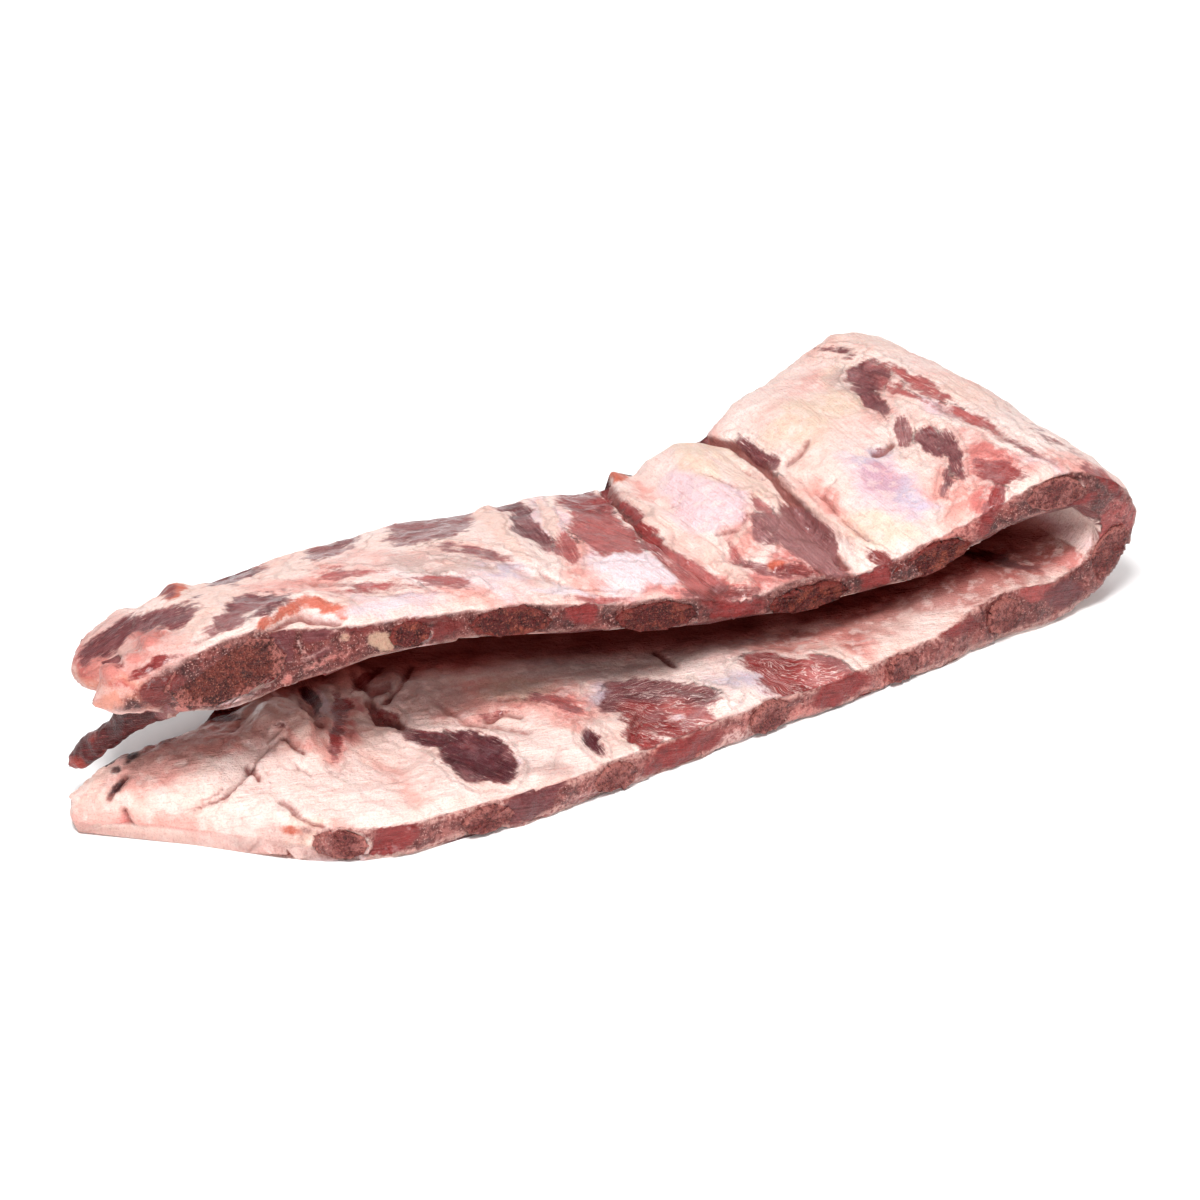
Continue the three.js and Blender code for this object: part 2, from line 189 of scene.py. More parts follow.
TOP_LEAN = [
    (MAUVE, [(110, 641, 38, 14, -34), (166, 617, 42, 12, -20), (258, 604, 40, 11, -10)]),
    (MAUVE, [(238, 574, 32, 9, -14)]),
    (ASH, [(228, 622, 26, 8, -22), (328, 551, 26, 9, -20), (433, 526, 48, 17, -12), (470, 553, 40, 5, 8)]),
    (ROSY, [(345, 574, 32, 4, -2), (372, 589, 44, 4, -3), (446, 584, 30, 8, 8), (606, 534, 44, 20, 24)]),
    (MAUVE, [(506, 504, 20, 9, 10), (528, 526, 34, 12, 48), (345, 541, 14, 6, -20)]),
    (RED, [(590, 505, 32, 13, 14), (640, 520, 26, 9, 40), (668, 558, 44, 9, 38)]),
    (ROSY, [(566, 548, 22, 10, 60), (596, 540, 24, 7, 10)]),
    (ROSY, [(700, 580, 44, 16, 36), (770, 520, 30, 7, 46), (740, 556, 18, 5, 50), (600, 598, 30, 5, 0)]),
    (ASH, [(806, 538, 44, 24, 42), (764, 530, 20, 12, 40), (830, 566, 22, 10, 40)]),
    (BRICK, [(780, 572, 44, 8, 8), (720, 594, 40, 7, 0), (880, 556, 20, 8, 30)]),
    (MAUVE, [(758, 456, 28, 9, 38), (836, 352, 18, 4, 8), (868, 378, 20, 16, 20), (874, 398, 26, 10, 52)]),
    (ROSY, [(912, 381, 44, 7, 24), (902, 392, 28, 4, 22), (974, 420, 38, 6, 31)]),
    (ASH, [(1028, 449, 30, 4, 31), (1050, 436, 22, 2, 32), (904, 432, 15, 9, 80), (790, 487, 20, 4, 45)]),
    (MAUVE, [(930, 444, 20, 14, 50), (952, 454, 27, 9, 62), (948, 482, 22, 5, 104)]),
    (RED, [(1002, 474, 28, 11, 14), (998, 500, 24, 9, 108), (988, 516, 18, 7, 112)]),
    (BRICK, [(880, 449, 4, 3, 0)]),
    (ROSY, [(1100, 474, 20, 5, 30), (1000, 396, 12, 4, 40)]),
]
TOP_OVER = [
    (ORANGE, [(266, 620, 14, 7, -40), (284, 613, 26, 7, -26), (318, 604, 30, 7, 0), (343, 612, 8, 8, 40)]),
    (ORANGE, [(174, 589, 16, 8, -26), (244, 560, 26, 5, -12), (616, 477, 12, 10, 0)]),
    (ORANGE, [(781, 566, 11, 6, -14)]),
    (CREAM, [(500, 530, 44, 10, 50), (549, 520, 24, 8, 66), (724, 566, 34, 9, 44), (655, 519, 50, 6, 37)]),
    (CREAM, [(820, 512, 60, 5, 40), (752, 490, 10, 7, 0), (770, 500, 12, 6, 40), (738, 534, 12, 4, -50)]),
    (SILVER, [(634, 568, 38, 16, 6), (560, 590, 40, 6, 6), (664, 580, 16, 10, 0), (380, 608, 40, 6, -4)]),
    (CREAM, [(205, 616, 26, 7, -36), (186, 636, 22, 5, -36)]),
    (PINK, [(104, 668, 20, 12, 0), (134, 656, 10, 6, 0), (150, 640, 14, 10, -20), (165, 633, 8, 5, 0)]),
    (BLOOD, [(169, 589, 9, 5, -30), (783, 569, 7, 3, -10), (122, 664, 5, 3, 20)]),
]
IN_SOFT = [
    (PINK, [(150, 765, 50, 24, -20), (165, 826, 44, 16, 10), (225, 742, 34, 12, 4), (545, 700, 60, 20, 12)]),
    (PINK, [(340, 745, 18, 30, 0), (305, 730, 22, 24, 0), (480, 700, 60, 20, 0), (820, 640, 60, 10, -10)]),
    (BLUSH, [(92, 822, 36, 20, 8), (184, 828, 30, 8, 6), (216, 742, 20, 12, 0)]),
    (ROSE, [(150, 832, 34, 6, 14), (142, 830, 12, 4, 20), (560, 700, 30, 9, 20), (125, 822, 6, 14, 0)]),
    (ROSE, [(140, 742, 40, 8, -22), (345, 720, 14, 34, 0), (860, 645, 14, 6, 20), (1060, 560, 60, 14, 0)]),
    # grey fat, and painted shade in the band below the brim
    (GREY_AND_SHADE, [(410, 690, 50, 20, 0), (600, 662, 80, 16, -4), (330, 700, 16, 20, 0), (540, 770, 40, 12, -10)]),
    (YELLOW, [(310, 822, 18, 8, 0), (520, 690, 30, 10, 0), (192, 705, 10, 6, 0), (300, 842, 20, 8, 0)]),
    # painted shade: dusky pink on the inner face under the fold
    (SHADED_PINK, [(940, 590, 120, 20, -14), (800, 640, 80, 9, -8), (1020, 555, 90, 18, -18)]),
    (BLUE, [(742, 682, 30, 8, 12), (600, 690, 8, 12, 40)]),
    (PALE, [(245, 758, 40, 16, -30), (320, 790, 90, 30, 8), (440, 776, 30, 20, 20), (560, 745, 34, 16, 20)]),
]
IN_LEAN = [
    (PURPLE, [(478, 758, 46, 25, 26), (430, 738, 40, 9, 10), (592, 740, 18, 8, 52), (313, 702, 19, 8, 64)]),
    (MAUVE, [(660, 692, 60, 14, 4), (640, 706, 36, 20, 10), (625, 700, 28, 16, -10)]),
    (RED, [(665, 722, 52, 18, 14), (648, 742, 30, 9, 30), (776, 668, 40, 14, 12), (800, 686, 42, 14, 4)]),
    (ROSY, [(828, 672, 30, 16, 10), (690, 712, 30, 12, 20), (555, 702, 30, 6, 14), (340, 712, 6, 22, 0)]),
    (RED, [(337, 740, 8, 22, 0), (342, 704, 7, 18, -20), (384, 716, 18, 7, 18), (366, 682, 18, 7, -40)]),
    (RED, [(495, 714, 20, 4, -8)]),
    (MAUVE, [(230, 714, 40, 8, -8), (990, 556, 50, 6, 14), (1080, 540, 30, 10, 30)]),
]
IN_OVER = [
    (BLOOD, [(278, 726, 10, 3, 0), (635, 722, 5, 12, 20), (386, 720, 12, 4, 16)]),
    (BLOOD, [(362, 684, 12, 4, -40), (238, 716, 34, 6, -6)]),
    # near-black marks below the hanging flap
    (NEAR_BLACK, [(118, 787, 15, 5, -50), (130, 756, 14, 6, -30), (112, 768, 6, 5, 0)]),
    (DARK, [(172, 732, 40, 5, -22), (247, 771, 9, 3, -50), (278, 724, 8, 3, 0)]),
    (ORANGE, [(688, 744, 44, 7, -26), (650, 760, 18, 6, -20), (290, 836, 16, 6, 0), (840, 690, 24, 6, -24)]),
    (SILVER, [(325, 704, 6, 20, -30), (680, 716, 8, 4, 0), (520, 762, 5, 6, 0)]),
    (CREAM, [(345, 676, 12, 7, 0), (384, 660, 12, 6, 10), (300, 722, 12, 18, -20), (266, 708, 32, 14, -6)]),
]
CUT_SOFT = [
    (PINK, [(700, 745, 60, 12, -26), (850, 690, 70, 12, -20), (280, 842, 30, 10, 0)]),
    (PINK, [(970, 520, 60, 14, -30)]),
    (PALE, [(500, 836, 40, 5, -22), (574, 808, 44, 6, -32), (640, 786, 24, 5, -24), (730, 738, 26, 9, -24)]),
    (ORANGE, [(284, 842, 18, 8, 10), (690, 752, 30, 6, -26)]),
    (ROSY, [(1118, 512, 16, 22, 70)]),
    (PEACH, [(118, 696, 34, 13, -26), (100, 676, 34, 14, 10), (330, 612, 60, 5, -6)]),
    (ROSE, [(84, 664, 12, 14, 0), (120, 684, 20, 5, 10)]),
]
CUT_LEAN = [
    (MAUVE, [(281, 640, 15, 13, 0), (291, 656, 8, 10, 0), (318, 634, 19, 9, -4), (322, 655, 18, 5, -8)]),
    (BRICK, [(360, 628, 14, 8, 0), (428, 614, 28, 8, -6), (444, 630, 18, 12, 0), (162, 688, 26, 12, -12)]),
    (RED, [(152, 667, 24, 7, -24), (582, 612, 18, 15, 0), (738, 606, 28, 12, -6), (876, 578, 20, 18, -20)]),
    (RED, [(990, 512, 10, 26, 24), (1112, 480, 16, 11, 30), (1080, 500, 26, 5, -16)]),
    (RED, [(960, 628, 24, 8, -18)]),
    (ROSY, [(1100, 526, 10, 16, 0), (1036, 592, 20, 12, -10), (1120, 470, 10, 6, 30)]),
    (MAUVE, [(1062, 594, 18, 13, -24), (535, 797, 42, 16, -36), (575, 806, 26, 5, -28)]),
    (MAUVE, [(470, 844, 34, 5, -14)]),
    (RED, [(396, 834, 32, 18, -48), (688, 748, 46, 12, -28), (842, 690, 34, 12, -22)]),
    (RED, [(660, 764, 20, 7, -28)]),
]
CUT_OVER = [
    (CHALK, [(384, 640, 14, 11, -10), (346, 640, 7, 5, 0)]),
    (PALE, [(264, 652, 3, 22, -24), (301, 644, 2, 16, -30), (304, 660, 22, 2, -20), (340, 624, 2, 12, 40)]),
    (PINK, [(184, 708, 11, 8, 30), (290, 682, 6, 6, 0), (330, 662, 26, 3, -20)]),
    (BLOOD, [(1120, 494, 9, 6, 0), (635, 730, 4, 12, 16)]),
]

# Creases and strands: points in the photograph, half width in pixels and height in millimetres,
# negative for a crease.
TOP_LINES = [
    ([(604, 488), (640, 524), (682, 560), (720, 586)], 4, -3.4),
    ([(616, 488), (655, 517), (696, 543), (722, 565), (748, 592)], 8, 2.6),
    ([(697, 436), (730, 443), (756, 461), (780, 486), (803, 512), (826, 540), (846, 566)], 4, -3.6),
    ([(764, 470), (794, 492), (821, 514), (847, 536), (872, 550)], 8, 2.2),
    ([(820, 495), (846, 523), (868, 541)], 3, -1.2),
    ([(786, 464), (800, 452), (806, 440)], 4, -1.3),
    ([(724, 545), (748, 538), (760, 522)], 4, 1.2),
    ([(716, 534), (738, 528), (748, 512)], 3, -1.2),
    ([(874, 452), (884, 450), (892, 440)], 4, -1.6),
    ([(256, 626), (276, 610), (310, 603), (346, 610)], 9, 2.6),
    ([(270, 628), (300, 616), (340, 622)], 4, -1.6),
    ([(196, 640), (218, 624), (236, 600)], 5, -0.9),
    ([(110, 640), (140, 616), (190, 598)], 3, 0.8),
    ([(312, 580), (350, 582), (400, 596)], 4, -0.9),
    ([(496, 556), (524, 574), (570, 584)], 4, -0.9),
    ([(480, 500), (508, 530), (536, 570)], 9, 1.0),
    ([(856, 364), (900, 376), (940, 396)], 4, -0.7),
    ([(936, 404), (990, 426), (1056, 462)], 6, -1.1),
    ([(690, 560), (716, 580), (744, 592)], 7, 1.2),
    ([(424, 566), (440, 574), (470, 578)], 2, -1.0),
    ([(540, 572), (560, 580), (590, 590)], 2, -1.0),
    ([(596, 588), (600, 604)], 2, -1.0),
    ([(644, 504), (662, 510), (680, 506)], 2, -0.9),
    ([(704, 472), (718, 475), (732, 484)], 2, -1.2),
    ([(744, 470), (764, 480)], 2, -1.2),
    ([(836, 478), (826, 486), (822, 494)], 2, -1.0),
    ([(812, 490), (826, 500), (834, 508)], 2, -1.0),
    ([(842, 522), (856, 530), (868, 541)], 2, -1.2),
    ([(250, 575), (262, 580)], 2, -0.8),
    ([(320, 566), (340, 568), (352, 563)], 2, -0.8),
]
IN_LINES = [
    ([(286, 736), (264, 752), (248, 772), (222, 794), (194, 812)], 3, -1.2),
    ([(655, 651), (664, 658), (674, 664)], 3, -1.6),
    ([(640, 712), (635, 722), (632, 736)], 4, -2.6),
    ([(484, 716), (504, 712), (522, 716)], 3, -1.4),
    ([(124, 776), (114, 788), (108, 800)], 4, -2.0),
    ([(124, 812), (130, 824), (150, 834), (190, 838)], 4, -1.6),
    ([(300, 700), (312, 716), (322, 726)], 4, -1.4),
    ([(368, 700), (380, 714), (400, 722)], 5, -2.6),
    ([(280, 800), (290, 803), (300, 818), (322, 828)], 4, -1.4),
    ([(352, 676), (372, 690), (390, 686)], 4, -1.8),
    ([(410, 664), (402, 690), (384, 700)], 3, -1.6),
    ([(430, 700), (470, 720), (530, 730)], 4, -1.0),
    ([(392, 690), (388, 703)], 2, -1.2),
    ([(246, 764), (257, 778)], 3, -1.8),
    ([(262, 764), (270, 786)], 2, -0.9),
    ([(240, 820), (246, 830)], 2, -0.9),
    ([(290, 760), (304, 770), (312, 774)], 2, -1.0),
    ([(286, 700), (240, 722), (232, 730)], 3, -1.0),
    ([(286, 736), (294, 746), (304, 752)], 3, -1.6),
    ([(200, 800), (216, 790), (222, 784)], 2, -0.9),
    ([(560, 748), (552, 766)], 2, -0.8),
    ([(500, 700), (520, 698), (540, 704)], 2, -1.0),
]

# Lumps and hollows: a patch as above, with its height in millimetres.
TOP_LUMPS = [
    (112, 673, 13, 10, 0, 2.4),
    (128, 658, 10, 8, 0, 1.8),
    (150, 645, 11, 8, -10, 2.0),
    (165, 633, 9, 6, 0, 1.6),
    (616, 478, 14, 12, 0, 3.0),
    (700, 456, 40, 11, 10, 1.6),
    (753, 491, 11, 8, 0, 1.8),
    (771, 502, 12, 7, 40, 1.4),
    (634, 566, 50, 24, 10, 1.4),
    (703, 499, 42, 28, 30, 1.6),
    (886, 486, 38, 24, 34, -1.4),
    (782, 566, 12, 7, -12, 1.6),
    (176, 590, 16, 8, -20, 2.0),
    (810, 400, 44, 34, 0, 1.0),
    (866, 388, 28, 13, 66, -0.8),
    (760, 456, 22, 9, 38, -1.0),
    (806, 538, 34, 16, 40, -0.8),
]
IN_LUMPS = [
    (267, 708, 34, 18, -6, 3.2),
    (302, 730, 13, 17, -20, 2.6),
    (225, 756, 54, 24, -14, 1.6),
    (92, 822, 30, 18, 8, 2.0),
    (440, 780, 34, 22, 24, 2.2),
    (660, 712, 54, 20, 10, -1.4),
    (795, 680, 44, 14, 8, -1.2),
    (487, 758, 34, 16, 26, -2.2),
    (592, 742, 14, 7, 52, -1.2),
    (350, 674, 20, 9, -10, 2.0),
    (412, 694, 36, 18, 0, 1.6),
    (545, 704, 40, 12, 14, 1.0),
    (384, 716, 14, 7, 16, -2.4),
    (311, 704, 14, 6, 64, -2.0),
    (740, 698, 36, 20, -10, 1.4),
]

# The thin sheet of fat that ends in a ledge: a place on its edge, the drop in millimetres, and the
# half length and tilt of the edge
STEPS = [(250, 768, 2.6, 46, 128)]

# Muscles whose fibres fan out: the point they come from, a turning radius in pixels, and a patch
FANS = [
    (560, 690, 110, (665, 712, 66, 34, 8)),
    (700, 640, 110, (795, 680, 58, 26, 8)),
]


def camera_axes():
    azimuth = math.radians(AZIMUTH)
    elevation = math.radians(ELEVATION)
    flat = math.cos(elevation)
    back = np.array([math.sin(azimuth) * flat, -math.cos(azimuth) * flat, math.sin(elevation)])
    right = np.array([math.cos(azimuth), math.sin(azimuth), 0.0])
    return right, np.cross(back, right), back


RIGHT, UP, BACK = camera_axes()
EYE = TARGET + BACK * DISTANCE


def to_photo(points):
    """Where points show in the photograph, in its pixels, as one row for each point."""
    offset = points - EYE
    depth = -(offset @ BACK)
    focal = LENS_MM / SENSOR_MM * IMAGE_PX
    across = IMAGE_PX / 2 + focal * (offset @ RIGHT) / depth
    down = IMAGE_PX / 2 - focal * (offset @ UP) / depth
    return np.stack([across, down], 1)


def make_camera():
    data = bpy.data.cameras.new("camera")
    data.lens = LENS_MM
    data.sensor_width = SENSOR_MM
    camera = bpy.data.objects.new("camera", data)
    bpy.context.collection.objects.link(camera)
    turn = Matrix([RIGHT, UP, BACK]).transposed().to_4x4()
    camera.matrix_world = Matrix.Translation(Vector(EYE)) @ turn
    bpy.context.scene.camera = camera


def smooth_step(low, high, x):
    t = np.clip((x - low) / (high - low), 0.0, 1.0)
    return t * t * (3.0 - 2.0 * t)


def bell(x, width):
    return np.exp(-((x / width) ** 2))


def lattice(cells, seed):
    """A repeatable number from -1 to 1 for each cell of a grid."""
    mixed = cells[:, 0] * 73856093 ^ cells[:, 1] * 19349663 ^ cells[:, 2] * 83492791
    mixed = (mixed ^ (seed * 40503 + 977)) & 0xFFFFFFFF
    mixed = ((mixed ^ (mixed >> 13)) * 1274126177) & 0xFFFFFFFF
    mixed = ((mixed ^ (mixed >> 16)) * 2246822519) & 0xFFFFFFFF
    return ((mixed ^ (mixed >> 15)) & 0xFFFF) / 32767.5 - 1.0


def noise(points, size, seed):
    """Smooth noise from -1 to 1, with lumps about size across."""
    places = points / size + 173.0
    cells = np.floor(places).astype(np.int64)
    t = places - cells
    t = t * t * t * (t * (6.0 * t - 15.0) + 10.0)
    total = np.zeros(len(points))
    for corner in itertools.product((0, 1), repeat=3):
        weight = np.prod(np.where(corner, t, 1.0 - t), axis=1)
        total += weight * lattice(cells + corner, seed + SEED)
    return total


def rough(points, size, seed, octaves=3):
    """Noise with finer and weaker noise on top."""
    total = np.zeros(len(points))
    for octave in range(octaves):
        total += noise(points, size / 2**octave, seed + 31 * octave) / 2**octave
    return total / 1.5


def creased(points, size, seed):
    """Broad crests at 1 parted by sharp valleys at 0, like lobes of fat."""
    return np.minimum(np.abs(rough(points, size, seed, 2)) * 2.6, 1.0) ** 0.6


def arrays_of(obj):
    mesh = obj.data
    mesh.calc_loop_triangles()
    points = np.empty(len(mesh.vertices) * 3)
    mesh.vertices.foreach_get("co", points)
    corners = np.empty(len(mesh.loop_triangles) * 3, dtype=np.int64)
    mesh.loop_triangles.foreach_get("vertices", corners)
    return points.reshape(-1, 3), corners.reshape(-1, 3)


def object_from(name, points, faces):
    mesh = bpy.data.meshes.new(name)
    mesh.from_pydata(points.tolist(), [], [list(map(int, face)) for face in faces])
    mesh.update()
    obj = bpy.data.objects.new(name, mesh)
    bpy.context.collection.objects.link(obj)
    return obj


def vertex_normals(obj):
    normals = np.empty(len(obj.data.vertices) * 3)
    obj.data.vertex_normals.foreach_get("vector", normals)
    return normals.reshape(-1, 3)


def apply_modifiers(obj):
    graph = bpy.context.evaluated_depsgraph_get()
    mesh = bpy.data.meshes.new_from_object(obj.evaluated_get(graph))
    obj.modifiers.clear()
    old = obj.data
    obj.data = mesh
    bpy.data.meshes.remove(old)


def set_points(obj, points):
    obj.data.vertices.foreach_set("co", points.ravel())
    obj.data.update()


def set_smooth(obj):
    obj.data.polygons.foreach_set("use_smooth", [True] * len(obj.data.polygons))


def blend(first, second, share):
    """A mix of two colours, with one share of the second for each point."""
    share = share[:, None]
    return first * (1 - share) + second * share


def store(obj, name, columns):
    """Keeps three numbers for each vertex as a vector attribute that the material reads."""
    attribute = obj.data.attributes.new(name, "FLOAT_VECTOR", "POINT")
    attribute.data.foreach_set("vector", np.asarray(columns, np.float32).ravel())


def rib_name(index):
    return f"rib_{index + 1:02d}"


def rib_rings(index):
    """The rings of points that a packed bone is made of, from its front end to its back end."""
    points, _ = arrays_of(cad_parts[rib_name(index)])
    points = np.unique(points.round(7), axis=0)
    points = points[np.argsort(points[:, 1])]
    breaks = np.nonzero(np.diff(points[:, 1]) > 4 * MM)[0] + 1
    return np.split(points, breaks)


def guide_points():
    """Front, middle and back centres of every bone, with one made-up place past each end."""
    lines = []
    for index in range(RIB_COUNT):
        rings = rib_rings(index)
        lines.append([ring.mean(0) for ring in (rings[0], rings[len(rings) // 2], rings[-1])])
    lines = np.array(lines)
    first = lines[0] + 0.6 * (lines[0] - lines[1])
    last = lines[-1] + 1.25 * (lines[-1] - lines[-2])
    return np.concatenate([[first], lines, [last]])


def bend(a, b, c, d, t):
    """A point of the smooth curve from b to c that also heeds its neighbours a and d."""
    return b + 0.5 * t * (c - a + t * (2 * a - 5 * b + 4 * c - d + t * (3 * (b - c) + d - a)))


def sampled(lines):
    """A smooth run through the guide points, with each sample's place counted in ribs."""
    padded = np.concatenate([[2 * lines[0] - lines[1]], lines, [2 * lines[-1] - lines[-2]]])
    samples = []
    places = []
    for span in range(len(lines) - 1):
        for step in range(SAMPLES_PER_RIB):
            t = step / SAMPLES_PER_RIB
            samples.append(bend(*padded[span : span + 4], t))
            places.append(span + t)
    return np.array(samples), np.array(places)


class Strip:
    """Coordinates of points in the strip: along it, across it and outwards from its middle."""

    def __init__(self, points):
        samples, places = sampled(guide_points())
        steps = np.linalg.norm(np.diff(samples[:, 1], axis=0), axis=1)
        lengths = np.concatenate([[0.0], np.cumsum(steps)])
        best = np.full(len(points), np.inf)
        self.along = np.zeros(len(points))
        self.across = np.zeros(len(points))
        self.out = np.zeros(len(points))
        for i in range(1, len(samples) - 1):
            front, _, back = samples[i]
            share = np.clip((points[:, 1] - front[1]) / (back[1] - front[1]), -0.15, 1.15)
            weights = (2 * (share - 0.5) * (share - 1), 4 * share * (1 - share), 2 * share * (share - 0.5))
            step = samples[i + 1] - samples[i - 1]
            x, z, step_x, step_z = (
                sum(w * line[k, axis] for w, k in zip(weights, range(3)))
                for line, axis in ((samples[i], 0), (samples[i], 2), (step, 0), (step, 2))
            )
            size = np.hypot(step_x, step_z)
            dx = points[:, 0] - x
            dz = points[:, 2] - z
            gap = np.hypot(dx, dz)
            closer = gap < best
            best[closer] = gap[closer]
            self.along[closer] = (lengths[i] + (dx * step_x + dz * step_z) / size)[closer]
            self.out[closer] = ((dz * step_x - dx * step_z) / size)[closer]
            self.across[closer] = share[closer]
        self.rib = np.interp(self.along, lengths, places)
        bones = np.interp(np.arange(1, RIB_COUNT + 1), places, lengths)
        self.from_bone = np.min(np.abs(self.along[:, None] - bones[None, :]), axis=1)


def patch_depth(patch, pixels):
    """How far inside an oval patch each pixel is, in pixels; negative outside."""
    across, down, half_long, half_wide, tilt = patch[:5]
    turn = math.radians(tilt)
    dx = pixels[:, 0] - across
    dy = pixels[:, 1] - down
    long = (dx * math.cos(turn) + dy * math.sin(turn)) / half_long
    wide = (dy * math.cos(turn) - dx * math.sin(turn)) / half_wide
    return (1.0 - np.hypot(long, wide)) * min(half_wide, half_long)


def line_distance(line, points):
    """How far each point is from a run of straight pieces, in two or three dimensions."""
    best = np.full(len(points), np.inf)
    for start, end in zip(line[:-1], line[1:]):
        start = np.array(start, float)
        run = np.array(end, float) - start
        share = np.clip(((points - start) @ run) / (run @ run), 0.0, 1.0)
        best = np.minimum(best, np.linalg.norm(points - start - share[:, None] * run, axis=1))
    return best


class Faces:
    """Which part of the strip each point of the skin belongs to, as shares from 0 to 1."""

    def __init__(self, points, normals):
        strip = Strip(points)
        self.strip = strip
        pixels = to_photo(points)
        self.flap = smooth_step(7.5, 5.0, line_distance(FLAP, points) / MM)
        self.flap *= smooth_step(700.0, 708.0, pixels[:, 1])
        upper = np.where(self.flap > 0.5, 1.0, smooth_step(FOLD_RIB + 1.0, FOLD_RIB + 0.4, strip.rib))
        outer = smooth_step(-1.0 * MM, 1.0 * MM, strip.out)
        outer = np.maximum(outer, smooth_step(0.5, 0.2, strip.rib))
        self.cut = smooth_step(0.6, 0.85, np.abs(normals[:, 1])) * (1 - self.flap)
        self.cut *= smooth_step(RIB_COUNT + 0.7, RIB_COUNT + 0.3, strip.rib)
        self.front_cut = self.cut * (normals[:, 1] < 0)
        facing = smooth_step(-0.2, 0.05, normals @ BACK)
        self.top = upper * outer * facing * (1 - self.cut) * (1 - self.flap)
        self.inner = (1 - outer) * (1 - self.cut) * (1 - self.flap)
        brim = np.interp(pixels[:, 0], BRIM[0], BRIM[1])
        below = pixels[:, 1] - brim
        self.shaded = smooth_step(5.0, -25.0, below) * (1 - upper)
        # painted shade: the inner face in a band just below the brim is darkened, as if shaded by the upper
        # layer
        near_brim = smooth_step(35.0, 6.0, below) * smooth_step(-70.0, -25.0, below)
        self.painted_gap_shade = near_brim * (1 - upper) * self.inner
        self.inside = (1 - upper) * self.inner * (1 - self.shaded)
        self.bottom = (1 - upper) * outer * (1 - self.cut)
        self.facing = facing
        self.seen = np.clip(self.top + self.inside + self.front_cut + self.flap, 0, 1)


def join_solids():
    """The slab with its bone channels filled: its own solid and every bone, swollen and cut short."""
    all_points = []
    all_faces = []
    count = 0
    for index in range(-1, RIB_COUNT):
        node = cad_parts["meat" if index < 0 else rib_name(index)]
        points, faces = arrays_of(node)
        if index >= 0:
            rings = rib_rings(index)
            places = np.array([ring[:, 1].mean() for ring in rings])
            middles = np.array([ring.mean(0) for ring in rings])
            for axis in (0, 2):
                middle = np.interp(points[:, 1], places, middles[:, axis])
                away = points[:, axis] - middle
                points[:, axis] = middle + away + np.sign(away) * BONE_SWELL
            points[:, 1] = np.clip(points[:, 1], places[0] + BONE_SHORT, places[-1] - BONE_SHORT)
        all_points.append(points)
        all_faces.append(faces + count)
        count += len(points)
    return object_from("strip", np.concatenate(all_points), np.concatenate(all_faces))


def remeshed_skin():
    obj = join_solids()
    remesh = obj.modifiers.new("remesh", "REMESH")
    remesh.mode = "VOXEL"
    remesh.voxel_size = VOXEL
    relax = obj.modifiers.new("relax", "SMOOTH")
    relax.factor = 0.5
    relax.iterations = SMOOTHING_ROUNDS
    apply_modifiers(obj)
    points, _ = arrays_of(obj)
    faces = Faces(points, vertex_normals(obj))
    group = obj.vertex_groups.new(name="hidden")
    for level in range(HIDDEN_LEVELS):
        share = level / (HIDDEN_LEVELS - 1)
        chosen = np.nonzero(np.abs((1 - faces.seen) - share) <= 0.5 / (HIDDEN_LEVELS - 1))[0]
        group.add(chosen.tolist(), share, "REPLACE")
    thin = obj.modifiers.new("thin", "DECIMATE")
    thin.ratio = HIDDEN_SHARE
    thin.vertex_group = "hidden"
    thin.use_collapse_triangulate = True
    apply_modifiers(obj)
    set_smooth(obj)
    return obj


def cap_depth(points, end):
    """How far inside the outline of a bone's sawn end each point is, in metres, and the cap's place."""
    depth = np.full(len(points), -1.0)
    place = np.zeros(len(points))
    for index in range(RIB_COUNT):
        centre, outline = bone_outline(index, 0 if end < 0 else -1)
        near = np.abs(points[:, 1] - centre[1]) < 4 * MM
        offset = points[near][:, (0, 2)] - centre[[0, 2]]
        spokes = outline[:, (0, 2)] - centre[[0, 2]]
        angle = np.arctan2(offset[:, 1], offset[:, 0])
        reach = np.interp(
            angle,
            np.arctan2(spokes[:, 1], spokes[:, 0]),
            np.linalg.norm(spokes, axis=1),
            period=2 * np.pi,
        )
        inside = reach - np.linalg.norm(offset, axis=1)
        better = inside > depth[near]
        rows = np.nonzero(near)[0][better]
        depth[rows] = inside[better]
        place[rows] = centre[1]
    return depth, place


def paint(colour, coats, pixels, mask, edge, strength=1.0):
    """Lays soft coats over a colour, and returns how deep inside any patch each point is."""
    deepest = np.full(len(pixels), OUTSIDE)
    here = np.nonzero(mask > 0.5)[0]
    if not len(here):
        return deepest
    spots = pixels[here]
    for shade, patches in coats:
        for patch in patches:
            depth = patch_depth(patch, spots)
            amount = smooth_step(-edge, edge, depth)[:, None] * strength
            colour[here] += amount * (shade - colour[here])
            deepest[here] = np.maximum(deepest[here], depth)
    return deepest


def nearest_tilt(coats, pixels, mask, tilt):
    """The tilt of whichever patch each point is deepest in."""
    deepest = np.full(len(pixels), -5.0)
    here = np.nonzero(mask > 0.5)[0]
    for _, patches in coats:
        for patch in patches:
            depth = patch_depth(patch, pixels[here])
            better = depth > deepest[here]
            deepest[here[better]] = depth[better]
            tilt[here[better]] = patch[4]


